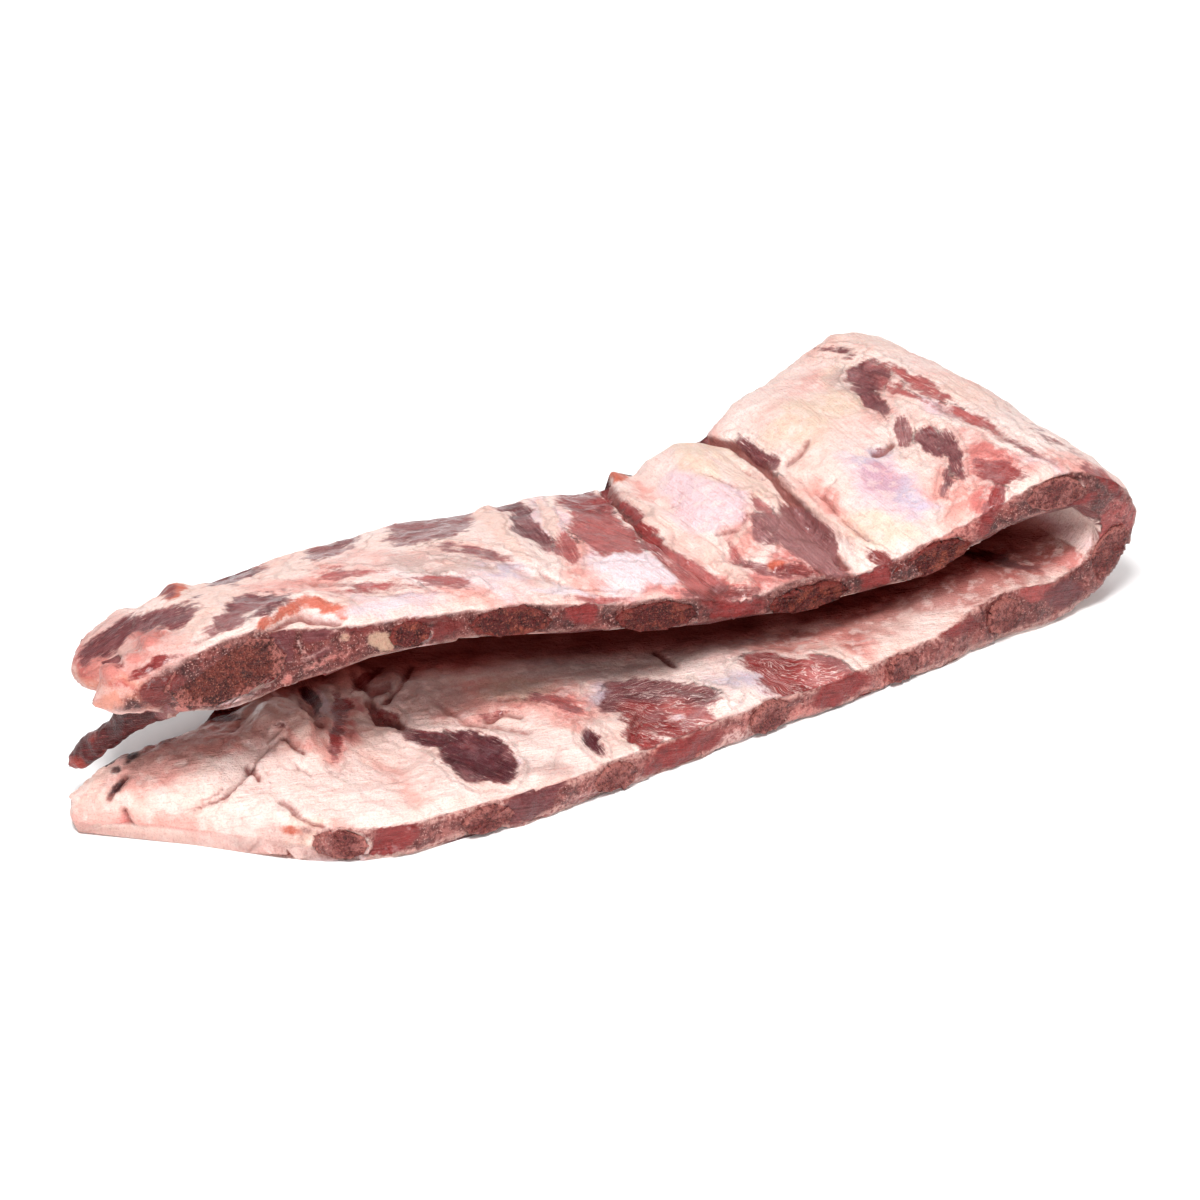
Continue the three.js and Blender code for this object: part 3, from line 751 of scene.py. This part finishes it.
def edge_distances(faces):
    """How far each point is from the outer and from the inner face of the slab, in millimetres."""
    strip = faces.strip
    bins = np.clip((strip.rib * 4).astype(int), 0, 4 * RIB_COUNT + 3)
    high = np.zeros(bins.max() + 1)
    low = np.zeros(bins.max() + 1)
    on_cut = faces.front_cut > 0.5
    np.maximum.at(high, bins[on_cut], strip.out[on_cut])
    np.minimum.at(low, bins[on_cut], strip.out[on_cut])
    centres = (np.arange(len(high)) + 0.5) / 4
    to_outer = np.interp(strip.rib, centres, high) - strip.out
    to_inner = strip.out - np.interp(strip.rib, centres, low)
    return to_outer / MM, to_inner / MM


def fan_grain(pixels, mask, along, across):
    """Turns the grain into rays that fan out from a point, in the muscles that do so."""
    for x, y, reach, patch in FANS:
        here = np.nonzero((mask > 0.5) & (patch_depth(patch, pixels) > -4))[0]
        offset = pixels[here] - np.array([x, y])
        radius = np.hypot(offset[:, 0], offset[:, 1])
        angle = np.arctan2(offset[:, 1], offset[:, 0])
        along[here] = radius / PX_PER_MM
        across[here] = (angle + 0.0016 * radius) * reach / PX_PER_MM


def loose_relief(faces, points, flank):
    """Unevenness that follows nothing in the photograph, in millimetres: the left flank is lobed."""
    lift = 0.7 * rough(points, 16 * MM, 51) + 0.35 * rough(points, 5 * MM, 52)
    lobes = 0.8 * creased(points, 7 * MM, 53) + 0.5 * creased(points, 3.4 * MM, 54) - 1.0
    lift += faces.inner * flank * lobes
    plain = faces.top + faces.inner * (1 - flank)
    return lift + plain * (0.5 * rough(points, 8 * MM, 55) + 0.25 * rough(points, 2.6 * MM, 57))


def drawn_relief(faces, pixels, warp):
    """Sunken lean, creases, strands, lumps and ledges, in millimetres, and the creases alone."""
    lift = np.zeros(len(pixels))
    groove = np.zeros(len(pixels))
    bent = pixels + LINE_WARP_PX * warp
    for mask, coats, lines, lumps in (
        (faces.top, TOP_LEAN, TOP_LINES, TOP_LUMPS),
        (faces.inside, IN_LEAN, IN_LINES, IN_LUMPS),
    ):
        lean = paint(np.zeros((len(pixels), 3)), coats, pixels + WARP_PX * warp, mask, 3.0)
        lift -= LEAN_SINK_MM * smooth_step(-1.0, 4.0, lean) * mask
        for line, half_width, height in lines:
            amount = height * bell(line_distance(line, bent), half_width) * mask
            lift += amount
            groove = np.maximum(groove, -amount)
        for *patch, height in lumps:
            depth = patch_depth(patch, bent) / patch[3]
            lift += height * smooth_step(-0.3, 0.8, depth) * mask
    for x, y, drop, reach, tilt in STEPS:
        turn = math.radians(tilt)
        ahead = (bent[:, 0] - x) * math.cos(turn) + (bent[:, 1] - y) * math.sin(turn)
        beside = (bent[:, 1] - y) * math.cos(turn) - (bent[:, 0] - x) * math.sin(turn)
        ledge = smooth_step(-1.5, 1.5, beside) * smooth_step(26.0, 4.0, beside)
        lift -= drop * ledge * bell(ahead, reach) * faces.inside
    return lift, groove


def edge_relief(faces, points, lift, flank):
    """The relief with ragged sawn faces, a rounded tip on the lower layer and a knotty flap."""
    strip = faces.strip
    ragged = 0.9 * rough(points, 4 * MM, 56, 2) - 0.3
    lift = np.where(faces.cut > 0.5, np.clip(0.4 * lift + ragged, -1.4, 1.0), lift)
    torn = flank * smooth_step(8.0, 9.0, strip.rib) * faces.cut
    lift += torn * 2.2 * rough(points, 15 * MM, 59, 2)
    tip = smooth_step(0.10, 0.0, strip.across) * smooth_step(14.1, 14.5, strip.rib)
    lift -= 2.6 * tip * faces.inner
    return lift + faces.flap * (1.2 * rough(points, 7 * MM, 60) - 0.4)


def sink_at_bones(faces, points, normals, lift):
    """Sets the skin back behind every sawn bone: moves the points and returns the relief left."""
    for end in (-1, 1):
        side = faces.cut * (normals[:, 1] * end > 0)
        depth, place = cap_depth(points, end)
        depth = depth / MM + 0.35 * rough(points, 3 * MM, 58)
        sunk = smooth_step(0.0, 0.9, depth) * (side > 0.3)
        lift = lift * (1 - sunk)
        points[:, 1] += sunk * (place - end * CAP_SINK - points[:, 1])
    return lift


def press_relief(obj):
    """Presses the relief into the skin, and returns what the painting needs to know of it."""
    points, _ = arrays_of(obj)
    normals = vertex_normals(obj)
    faces = Faces(points, normals)
    warp = np.stack([rough(points, 8 * MM, seed, 4) for seed in (11, 12)], 1)
    flank = smooth_step(-20 * MM, -60 * MM, points[:, 0])
    lift, groove = drawn_relief(faces, to_photo(points), warp)
    lift = edge_relief(faces, points, lift + loose_relief(faces, points, flank), flank)
    lift = sink_at_bones(faces, points, normals, lift)
    moved = points + normals * (lift * MM)[:, None]
    moved[:, 2] = np.maximum(moved[:, 2], 0.0)
    set_points(obj, moved)
    return faces, points, to_photo(moved), warp, lift, groove


def fat_colour(faces, points, pixels, sawn, to_outer, to_inner):
    """The colour of the fat and membranes, and on the sawn faces of the granular fat."""
    strip = faces.strip
    tint = blend(PALE, CREAM, smooth_step(-0.5, 0.7, rough(points, 22 * MM, 21)))
    tint = blend(tint, PINK, 0.55 * smooth_step(0.0, 0.7, rough(points, 12 * MM, 22, 4)))
    near_bone = smooth_step(9.0, 4.0, strip.from_bone / MM + 3 * rough(points, 15 * MM, 23))
    tint = blend(tint, LILAC, 0.6 * near_bone * (faces.seen <= 0.5))
    # the soft coats include painted shade: grey and dusky pink below the brim, and grey along creases
    paint(tint, TOP_SOFT, pixels, faces.top, 7.0, 0.85)
    paint(tint, IN_SOFT, pixels, faces.inside, 6.0, 0.75)
    upper = smooth_step(FOLD_RIB + 0.6, FOLD_RIB - 0.6, strip.rib)
    pale = blend(LOW_SAWN_PALE, SAWN_PALE, upper)
    deep = blend(LOW_SAWN_DEEP, SAWN_DEEP, upper)
    cut_tint = blend(pale, deep, smooth_step(-0.5, 0.5, rough(points, 5 * MM, 24)))
    tint = blend(tint, cut_tint, 0.95 * faces.cut)
    film = smooth_step(1.7, 0.7, to_inner + 0.7 * rough(points, 4 * MM, 25))
    rind = smooth_step(2.2, 1.0, to_outer + 1.2 * rough(points, 6 * MM, 26))
    edging = np.maximum(film * (1 - 0.6 * upper), rind * (1 - 0.75 * upper))
    tint = blend(tint, CREAM, 0.8 * faces.cut * edging)
    paint(tint, CUT_SOFT, pixels, sawn, 4.0, 0.85)
    return tint


def lean_colour(faces, points, pixels, sawn, brow):
    """The colour of the lean, and how deep inside it each point is, in pixels."""
    strip = faces.strip
    from_bone = strip.from_bone / MM
    flesh = blend(MAUVE, RED, smooth_step(-0.5, 0.5, noise(points, 26 * MM, 31)))
    flesh = np.where(faces.cut[:, None] > 0.5, BRICK, flesh)
    # the flap: dark red with brighter red-orange, partly its own tone and partly painted highlight
    flap_reds_and_highlights = blend(DARK, FLAP_RED_AND_HIGHLIGHT, smooth_step(0.0, 0.7, rough(points, 6 * MM, 32)))
    flesh = np.where(faces.flap[:, None] > 0.5, flap_reds_and_highlights, flesh)
    lean = 1.3 * (from_bone - 11.0) + 14.0 * rough(points, 24 * MM, 41)
    past_ends = (strip.rib < 0.3) | (strip.rib > RIB_COUNT + 0.7)
    lean = np.where(past_ends, OUTSIDE, lean)
    lean = np.where(faces.cut > 0.5, 1.2 * (from_bone - 5.0) + 9.0 * rough(points, 8 * MM, 42), lean)
    by_patches = (faces.bottom * faces.facing > 0.3) | (faces.seen > 0.5)
    lean = np.where(by_patches, OUTSIDE, lean)
    lean = np.where(faces.flap > 0.5, -OUTSIDE, lean)
    for coats, mask in ((TOP_LEAN, brow), (IN_LEAN, faces.inside), (CUT_LEAN, sawn)):
        lean = np.maximum(lean, paint(flesh, coats, pixels, mask, 3.0))
    return flesh, lean


def fibre_grain(faces, pixels, warped):
    """Places along and across the fibres of the lean, in millimetres."""
    along_top = np.where(pixels[:, 0] < TURN_PX, LEFT_TILT, RIGHT_TILT)
    tilt = np.where(faces.top > 0.5, along_top, LOWER_TILT)
    nearest_tilt(TOP_LEAN, warped, faces.top, tilt)
    nearest_tilt(IN_LEAN, warped, faces.inside, tilt)
    turn = np.radians(tilt)
    along = (pixels[:, 0] * np.cos(turn) + pixels[:, 1] * np.sin(turn)) / PX_PER_MM
    across = (pixels[:, 1] * np.cos(turn) - pixels[:, 0] * np.sin(turn)) / PX_PER_MM
    fan_grain(warped, faces.inside, along, across)
    seen = faces.seen > 0.5
    along = np.where(seen, along, faces.strip.along / MM)
    return along, np.where(seen, across, faces.strip.across * WIDTH_MM)


def paint_skin(obj, faces, points, pixels, warp, lift, groove):
    """Paints fat, lean, what lies over them and painted shade into attributes of the skin."""
    warped = pixels + WARP_PX * warp
    to_outer, to_inner = edge_distances(faces)
    sawn = faces.front_cut + faces.top * smooth_step(0.9, 0.7, faces.strip.rib)
    brow = faces.top + faces.front_cut * (to_outer < 3.0)
    tint = fat_colour(faces, points, pixels + SOFT_WARP_PX * warp, sawn, to_outer, to_inner)
    flesh, lean = lean_colour(faces, points, warped, sawn, brow)
    over = np.tile(CREAM, (len(points), 1))
    cover = np.full(len(points), OUTSIDE)
    for coats, mask in ((TOP_OVER, brow), (IN_OVER, faces.inside), (CUT_OVER, sawn)):
        cover = np.maximum(cover, paint(over, coats, warped, mask, 1.5))
    along, across = fibre_grain(faces, pixels, warped)
    fan = np.max([smooth_step(-3, 6, patch_depth(patch, warped)) for *_, patch in FANS], axis=0)
    # how deep each point lies in a crease or hollow; the material lays painted shade there
    hollow = groove + 0.3 * np.clip(-lift, 0, 3)
    # painted shade: darkening in the gap of the fold, and on the sawn faces partly painted shade
    painted_gap_shade = np.clip(faces.painted_gap_shade * (0.9 + 0.2 * rough(points, 10 * MM, 27)), 0, 1)
    shade = EXPOSURE * PAINTED_GAP_SHADE ** painted_gap_shade[:, None] * SAWN_TONE_AND_SHADE ** np.clip(sawn, 0, 1)[:, None]
    store(obj, "tint", tint)
    store(obj, "flesh", flesh)
    store(obj, "over", over)
    store(obj, "shade", shade)
    store(obj, "depths", np.stack([lean / PX_PER_MM, cover / PX_PER_MM, faces.cut], 1))
    store(obj, "grain", np.stack([along, across, np.zeros(len(points))], 1))
    store(obj, "relief", np.stack([hollow, fan * faces.inside, faces.flap], 1))


def smooth_ring(ring, sides):
    """A packed ring of points in order round its centre, resampled to more sides."""
    if len(ring) % 2:
        order = np.argsort(np.linalg.norm(ring - ring.mean(0), axis=1))
        ring = ring[np.sort(order[1:])]
    centre = ring.mean(0)
    angle = np.arctan2(ring[:, 2] - centre[2], ring[:, 0] - centre[0])
    ring = ring[np.argsort(angle)]
    count = len(ring)
    result = []
    for k in range(sides):
        place = k * count / sides
        i = int(place)
        result.append(bend(*(ring[(i + j) % count] for j in (-1, 0, 1, 2)), place - i))
    return centre, np.array(result)


def bone_outline(index, ring_index):
    """The uneven outline of a bone at one of its rings, and the middle of that ring."""
    around = np.arange(BONE_SIDES) * 2 * np.pi / BONE_SIDES
    circle = np.stack([np.cos(around), np.sin(around), np.full(BONE_SIDES, index * 3.1)], 1)
    wobble = (0.13 * noise(circle, 0.9, 61) + 0.05 * noise(circle, 0.35, 63))[:, None]
    centre, ring = smooth_ring(rib_rings(index)[ring_index], BONE_SIDES)
    return centre, centre + (ring - centre) * (1.02 + wobble)


def make_bone(index):
    """A bone with a sawn, uneven cap on each end."""
    ring_count = len(rib_rings(index))
    rows = []
    rims = []
    for end, ring_index in ((-1, 0), (1, -1)):
        centre, ring = bone_outline(index, ring_index)
        cap = []
        for step in range(CAP_RINGS):
            share = (step + 0.5) / CAP_RINGS
            cap.append((centre + (ring - centre) * share * 0.985, share))
        cap.append((ring - np.array([0, end * CAP_ROUND, 0]), 1.0))
        if end < 0:
            for middle in range(1, ring_count - 1):
                cap.append((bone_outline(index, middle)[1], 1.0))
        else:
            cap.reverse()
        for row, rim in cap:
            rows.append(row)
            rims.append(np.full(BONE_SIDES, rim))
    points = np.concatenate(rows)
    rim = np.concatenate(rims)
    faces = []
    for row in range(len(rows) - 1):
        for k in range(BONE_SIDES):
            following = (k + 1) % BONE_SIDES
            low = row * BONE_SIDES
            high = low + BONE_SIDES
            faces.append((low + k, low + following, high + following, high + k))
    faces.append(tuple(range(BONE_SIDES))[::-1])
    faces.append(tuple(range(len(points) - BONE_SIDES, len(points))))
    ends = np.where(points[:, 1] < points[:, 1].mean(), -1.0, 1.0)
    points[:, 1] += ends * 0.2 * MM * rough(points, 1.8 * MM, 62) * (rim < 0.99)
    obj = object_from(f"bone_{index + 1:02d}", points, faces)
    set_smooth(obj)
    obj.data.set_sharp_from_angle(angle=math.radians(50))
    redness = 0.0 if index == 0 else 1.0 if index < 6 else 0.5
    store(obj, "bone", np.stack([rim, np.full(len(points), redness), np.zeros(len(points))], 1))
    return obj


class Nodes:
    """Short calls for building a material's node tree."""

    def __init__(self, name):
        self.material = bpy.data.materials.new(name)
        self.material.use_nodes = True
        self.tree = self.material.node_tree
        self.shader = self.tree.nodes["Principled BSDF"]

    def link(self, value, socket):
        if isinstance(value, bpy.types.NodeSocket):
            self.tree.links.new(value, socket)
        elif isinstance(value, np.ndarray):
            socket.default_value = (*value, 1.0)
        else:
            socket.default_value = value

    def put(self, name, value):
        """Sets or links one of the shader's sockets."""
        self.link(value, self.shader.inputs[name])

    def node(self, kind, inputs, output=0, **settings):
        """Adds a node with its settings, sets or links its inputs, and returns one of its outputs."""
        node = self.tree.nodes.new("ShaderNode" + kind)
        for name, value in settings.items():
            setattr(node, name, value)
        for socket, value in inputs.items():
            self.link(value, node.inputs[socket])
        return node.outputs[output]

    def math(self, operation, a, b=0.0):
        return self.node("Math", {0: a, 1: b}, operation=operation)

    def attribute(self, name):
        return self.node("Attribute", {}, "Vector", attribute_name=name)

    def parts(self, vector):
        node = self.tree.nodes.new("ShaderNodeSeparateXYZ")
        self.link(vector, node.inputs[0])
        return node.outputs

    def place(self):
        return self.node("TexCoord", {}, "Object")

    def scaled(self, vector, scale):
        return self.node("VectorMath", {0: vector, 1: scale}, operation="MULTIPLY")

    def noise(self, vector, scale, detail=3.0, roughness=0.5, distortion=0.0):
        inputs = {"Vector": vector, "Scale": scale, "Detail": detail}
        inputs.update({"Roughness": roughness, "Distortion": distortion})
        return self.node("TexNoise", inputs, "Fac")

    def cells(self, vector, scale, feature="F1"):
        return self.node("TexVoronoi", {"Vector": vector, "Scale": scale}, "Distance", feature=feature)

    def span(self, value, low, high, to_low=0.0, to_high=1.0):
        """A smooth step from to_low, at low, to to_high, at high."""
        inputs = {"Value": value, "From Min": low, "From Max": high, "To Min": to_low, "To Max": to_high}
        return self.node("MapRange", inputs, interpolation_type="SMOOTHSTEP")

    def mix(self, share, a, b, blend_type="MIX"):
        return self.node("Mix", {0: share, 6: a, 7: b}, 2, data_type="RGBA", blend_type=blend_type)

    def stain(self, colour, other, value, low, high, share):
        """Lays another colour over one, from nothing at low to share at high."""
        return self.mix(self.span(value, low, high, 0.0, share), colour, other)

    def darken(self, colour, value, low, high, share):
        """Darkens a colour, from nothing at low to share at high."""
        return self.mix(self.span(value, low, high, 0.0, share), colour, SHADE, "MULTIPLY")

    def power(self, colour, exponent):
        return self.node("Gamma", {"Color": colour, "Gamma": exponent})

    def swing(self, value, size):
        """A noise from 0 to 1 turned into one that swings size either way of 0."""
        return self.math("MULTIPLY", self.math("SUBTRACT", value, 0.5), 2.0 * size)

    def total(self, *values):
        result = values[0]
        for value in values[1:]:
            result = self.math("ADD", result, value)
        return result

    def bump(self, height, distance, strength=1.0, normal=None):
        inputs = {"Height": height, "Distance": distance, "Strength": strength}
        if normal is not None:
            inputs["Normal"] = normal
        return self.node("Bump", inputs)


def skin_inputs(n):
    """The attributes and noises that the looks of the skin are made from."""
    place = n.place()
    grain = n.attribute("grain")
    f = SimpleNamespace()
    f.lean_depth, f.cover_depth, f.cut = n.parts(n.attribute("depths"))
    f.sunk, f.fan, f.flap = n.parts(n.attribute("relief"))
    f.wide = n.noise(place, 90, 3)
    f.middle = n.noise(place, 260, 4, 0.6)
    f.small = n.noise(place, 700, 4, 0.6)
    f.fine = n.noise(place, 1900, 3, 0.6)
    f.lobes = n.cells(place, 330, "SMOOTH_F1")
    f.strands = n.noise(n.scaled(grain, (0.09, 1.2, 0.0)), 1.0, 4, 0.6, 0.4)
    f.fibre = n.noise(n.scaled(grain, (0.25, 3.2, 0.0)), 1.0, 4, 0.65, 0.3)
    return f


def fat_look(n, f):
    """Mottled fat with painted shade in its creases and hollows; on sawn faces granular, with dark and pale
    specks.
    """
    tint = n.attribute("tint")
    fat = n.stain(tint, PINK, f.small, 0.5, 0.7, 0.3)
    fat = n.stain(fat, ROSE, f.strands, 0.56, 0.68, 0.22)
    fat = n.stain(fat, PALE, f.middle, 0.52, 0.36, 0.5)
    # painted shade, reddish, in creases and hollows
    fat = n.stain(fat, CREASE_SHADE, n.total(f.sunk, n.swing(f.small, 0.5)), 0.4, 2.2, 0.85)
    sawn = n.darken(tint, f.small, 0.56, 0.38, 0.95)
    sawn = n.stain(sawn, PINK, f.small, 0.56, 0.7, 0.4)
    sawn = n.stain(sawn, CREAM, f.fine, 0.56, 0.68, 0.7)
    return n.mix(f.cut, fat, sawn)


def lean_look(n, f):
    """Lean with dark and pale fibres under a thin patchy film that is partly painted sheen, and white
    threads where it fans out.
    """
    lean = n.darken(n.attribute("flesh"), f.middle, 0.52, 0.36, 0.45)
    lean = n.darken(lean, f.strands, 0.48, 0.34, 0.5)
    lean = n.stain(lean, ROSY, f.strands, 0.54, 0.7, 0.3)
    lean = n.darken(lean, f.fibre, 0.44, 0.3, 0.4)
    lean = n.stain(lean, PINK, f.fibre, 0.6, 0.72, 0.6)
    # the pale film over the lean: partly a real film, partly painted sheen
    film = n.span(n.total(f.wide, n.swing(f.middle, 0.2)), 0.46, 0.66, 0.0, 0.7)
    whole = n.math("SUBTRACT", 1.0, n.math("MAXIMUM", f.cut, f.flap))
    lean = n.mix(n.math("MULTIPLY", film, whole), lean, ASH)
    off_middle = n.math("ABSOLUTE", n.math("SUBTRACT", f.strands, 0.5))
    thread = n.span(off_middle, 0.0, 0.024, 1.0, 0.0)
    return n.mix(n.math("MULTIPLY", thread, n.span(f.fan, 0.0, 1.0, 0.12, 0.85)), lean, PALE)


def lean_share(n, f):
    """Where lean shows instead of fat: a ragged outline, less the marbling along its fibres."""
    edge = n.total(f.lean_depth, n.swing(f.middle, 1.4), n.swing(f.small, 0.5), n.swing(f.strands, 0.8))
    marbled = n.math("MULTIPLY", n.span(f.fibre, 0.58, 0.66, 0.0, 0.7), n.span(edge, 3.5, 0.4))
    return n.math("MAXIMUM", n.math("SUBTRACT", n.span(edge, -0.4, 0.8), marbled), 0.0)


def skin_normal(n, f, wet):
    """Lobes, grains and fibres too fine for the mesh."""
    lobes = n.bump(f.lobes, 0.8 * MM, 0.3)
    swells = n.bump(n.math("MULTIPLY", f.small, n.span(f.cut, 0.0, 1.0, 1.0, 2.2)), 1.0 * MM, 0.6, lobes)
    grains = n.bump(n.math("MULTIPLY", f.fine, n.span(wet, 0.0, 1.0, 0.5, 1.2)), 0.4 * MM, 0.7, swells)
    return n.bump(n.total(f.strands, f.fibre), 0.8 * MM, 0.6, grains)


def skin_material():
    n = Nodes("meat")
    f = skin_inputs(n)
    lean = lean_share(n, f)
    base = n.mix(lean, fat_look(n, f), lean_look(n, f))
    edge = n.total(f.cover_depth, n.swing(f.middle, 0.9), n.swing(f.small, 0.9), n.swing(f.strands, 0.8))
    over = n.stain(n.attribute("over"), PINK, f.small, 0.5, 0.7, 0.3)
    base = n.stain(base, over, edge, -0.3, 0.9, 0.9)
    base = n.darken(base, f.fine, 0.5, 0.36, 0.22)
    # the painted shade of the gap and of the sawn faces, with the overall level
    shade = n.attribute("shade")
    n.put("Base Color", n.mix(1.0, n.power(base, DEPTH), shade, "MULTIPLY"))

    # Wet where it is lean or sawn, dull on the flap, and less specular and coated where the painted shade is
    # deep
    wet = n.math("MAXIMUM", lean, f.cut)
    matt = n.math("SUBTRACT", 1.0, n.math("MULTIPLY", f.flap, 0.6))
    lit = n.math("MULTIPLY", n.span(n.parts(shade)[0], 0.35, 0.9), matt)
    n.put("Roughness", n.span(n.total(wet, n.swing(f.small, 0.7)), 0.0, 1.0, 0.44, 0.3))
    n.put("Specular IOR Level", n.math("MULTIPLY", lit, 0.38))
    n.put("Coat Weight", n.math("MULTIPLY", lit, n.span(wet, 0.0, 1.0, 0.06, 0.3)))
    n.put("Coat Roughness", 0.14)
    n.put("Subsurface Weight", 0.12)
    n.put("Subsurface Radius", (1.0, 0.3, 0.2))
    n.put("Subsurface Scale", 1.5 * MM)
    n.put("Normal", skin_normal(n, f, wet))
    return n.material


def bone_material():
    """Sawn bone: granular marrow in one of three colours, inside a paler rim."""
    n = Nodes("bone")
    place = n.place()
    rim, redness, _ = n.parts(n.attribute("bone"))
    pores = n.cells(place, 1500)
    wide = n.noise(place, 200, 4, 0.6)
    coarse = n.noise(place, 700, 4, 0.7)
    flecks = n.noise(place, 2200, 3, 0.6)
    brown = n.mix(n.span(wide, 0.42, 0.6), *MARROW_BROWN)
    pink = n.mix(n.span(wide, 0.4, 0.6), *MARROW_PINK)
    red = n.mix(n.span(wide, 0.48, 0.58), *MARROW_RED)
    marrow = n.mix(n.span(redness, 0.0, 0.5), brown, pink)
    marrow = n.mix(n.span(redness, 0.5, 1.0), marrow, red)
    marrow = n.darken(marrow, coarse, 0.54, 0.38, 0.9)
    marrow = n.darken(marrow, pores, 0.45, 0.2, 0.4)
    marrow = n.stain(marrow, MARROW_FLECK, flecks, 0.54, 0.66, 0.5)
    edge = n.total(rim, n.swing(coarse, 0.5), n.swing(wide, 0.3))
    halo = n.mix(n.span(redness, 0.5, 1.0), RIM_PALE, RIM_RED)
    colour = n.stain(marrow, halo, edge, 0.8, 1.02, 0.8)
    # the sawn ends get the same partly painted shade as the sawn faces
    n.put("Base Color", n.mix(1.0, n.power(colour, DEPTH), EXPOSURE * SAWN_TONE_AND_SHADE, "MULTIPLY"))
    n.put("Roughness", 0.4)
    n.put("Specular IOR Level", 0.35)
    n.put("Normal", n.bump(coarse, 1.4 * MM, 1.0, n.bump(pores, 0.7 * MM, 0.8)))
    return n.material


def make_floor():
    size = FLOOR_SIZE
    corners = np.array([(-size, -size, 0), (size, -size, 0), (size, size, 0), (-size, size, 0)])
    floor = object_from("floor", corners, [(0, 1, 2, 3)])
    n = Nodes("floor")
    n.put("Base Color", FLOOR_COLOUR)
    n.put("Roughness", 0.9)
    floor.data.materials.append(n.material)


def make_lamp(name, place, size, watts):
    data = bpy.data.lights.new(name, "AREA")
    data.shape = "SQUARE"
    data.size = size
    data.energy = watts
    lamp = bpy.data.objects.new(name, data)
    bpy.context.collection.objects.link(lamp)
    lamp.location = place
    lamp.rotation_euler = (LAMP_AIM - Vector(place)).to_track_quat("-Z", "Y").to_euler()


def make_light():
    world = bpy.data.worlds.new("world")
    bpy.context.scene.world = world
    world.use_nodes = True
    background = world.node_tree.nodes["Background"]
    background.inputs["Color"].default_value = (1, 1, 1, 1)
    background.inputs["Strength"].default_value = WORLD_STRENGTH
    for lamp in LAMPS:
        make_lamp(*lamp)
    bpy.context.scene.view_settings.view_transform = "Standard"


make_camera()
make_floor()
make_light()

skin = remeshed_skin()
paint_skin(skin, *press_relief(skin))
skin.data.materials.clear()
skin.data.materials.append(skin_material())
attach(skin, "root")
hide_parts("meat")

bone_look = bone_material()
for rib in range(RIB_COUNT):
    bone = make_bone(rib)
    bone.data.materials.append(bone_look)
    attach(bone, "root")
    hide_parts(rib_name(rib))
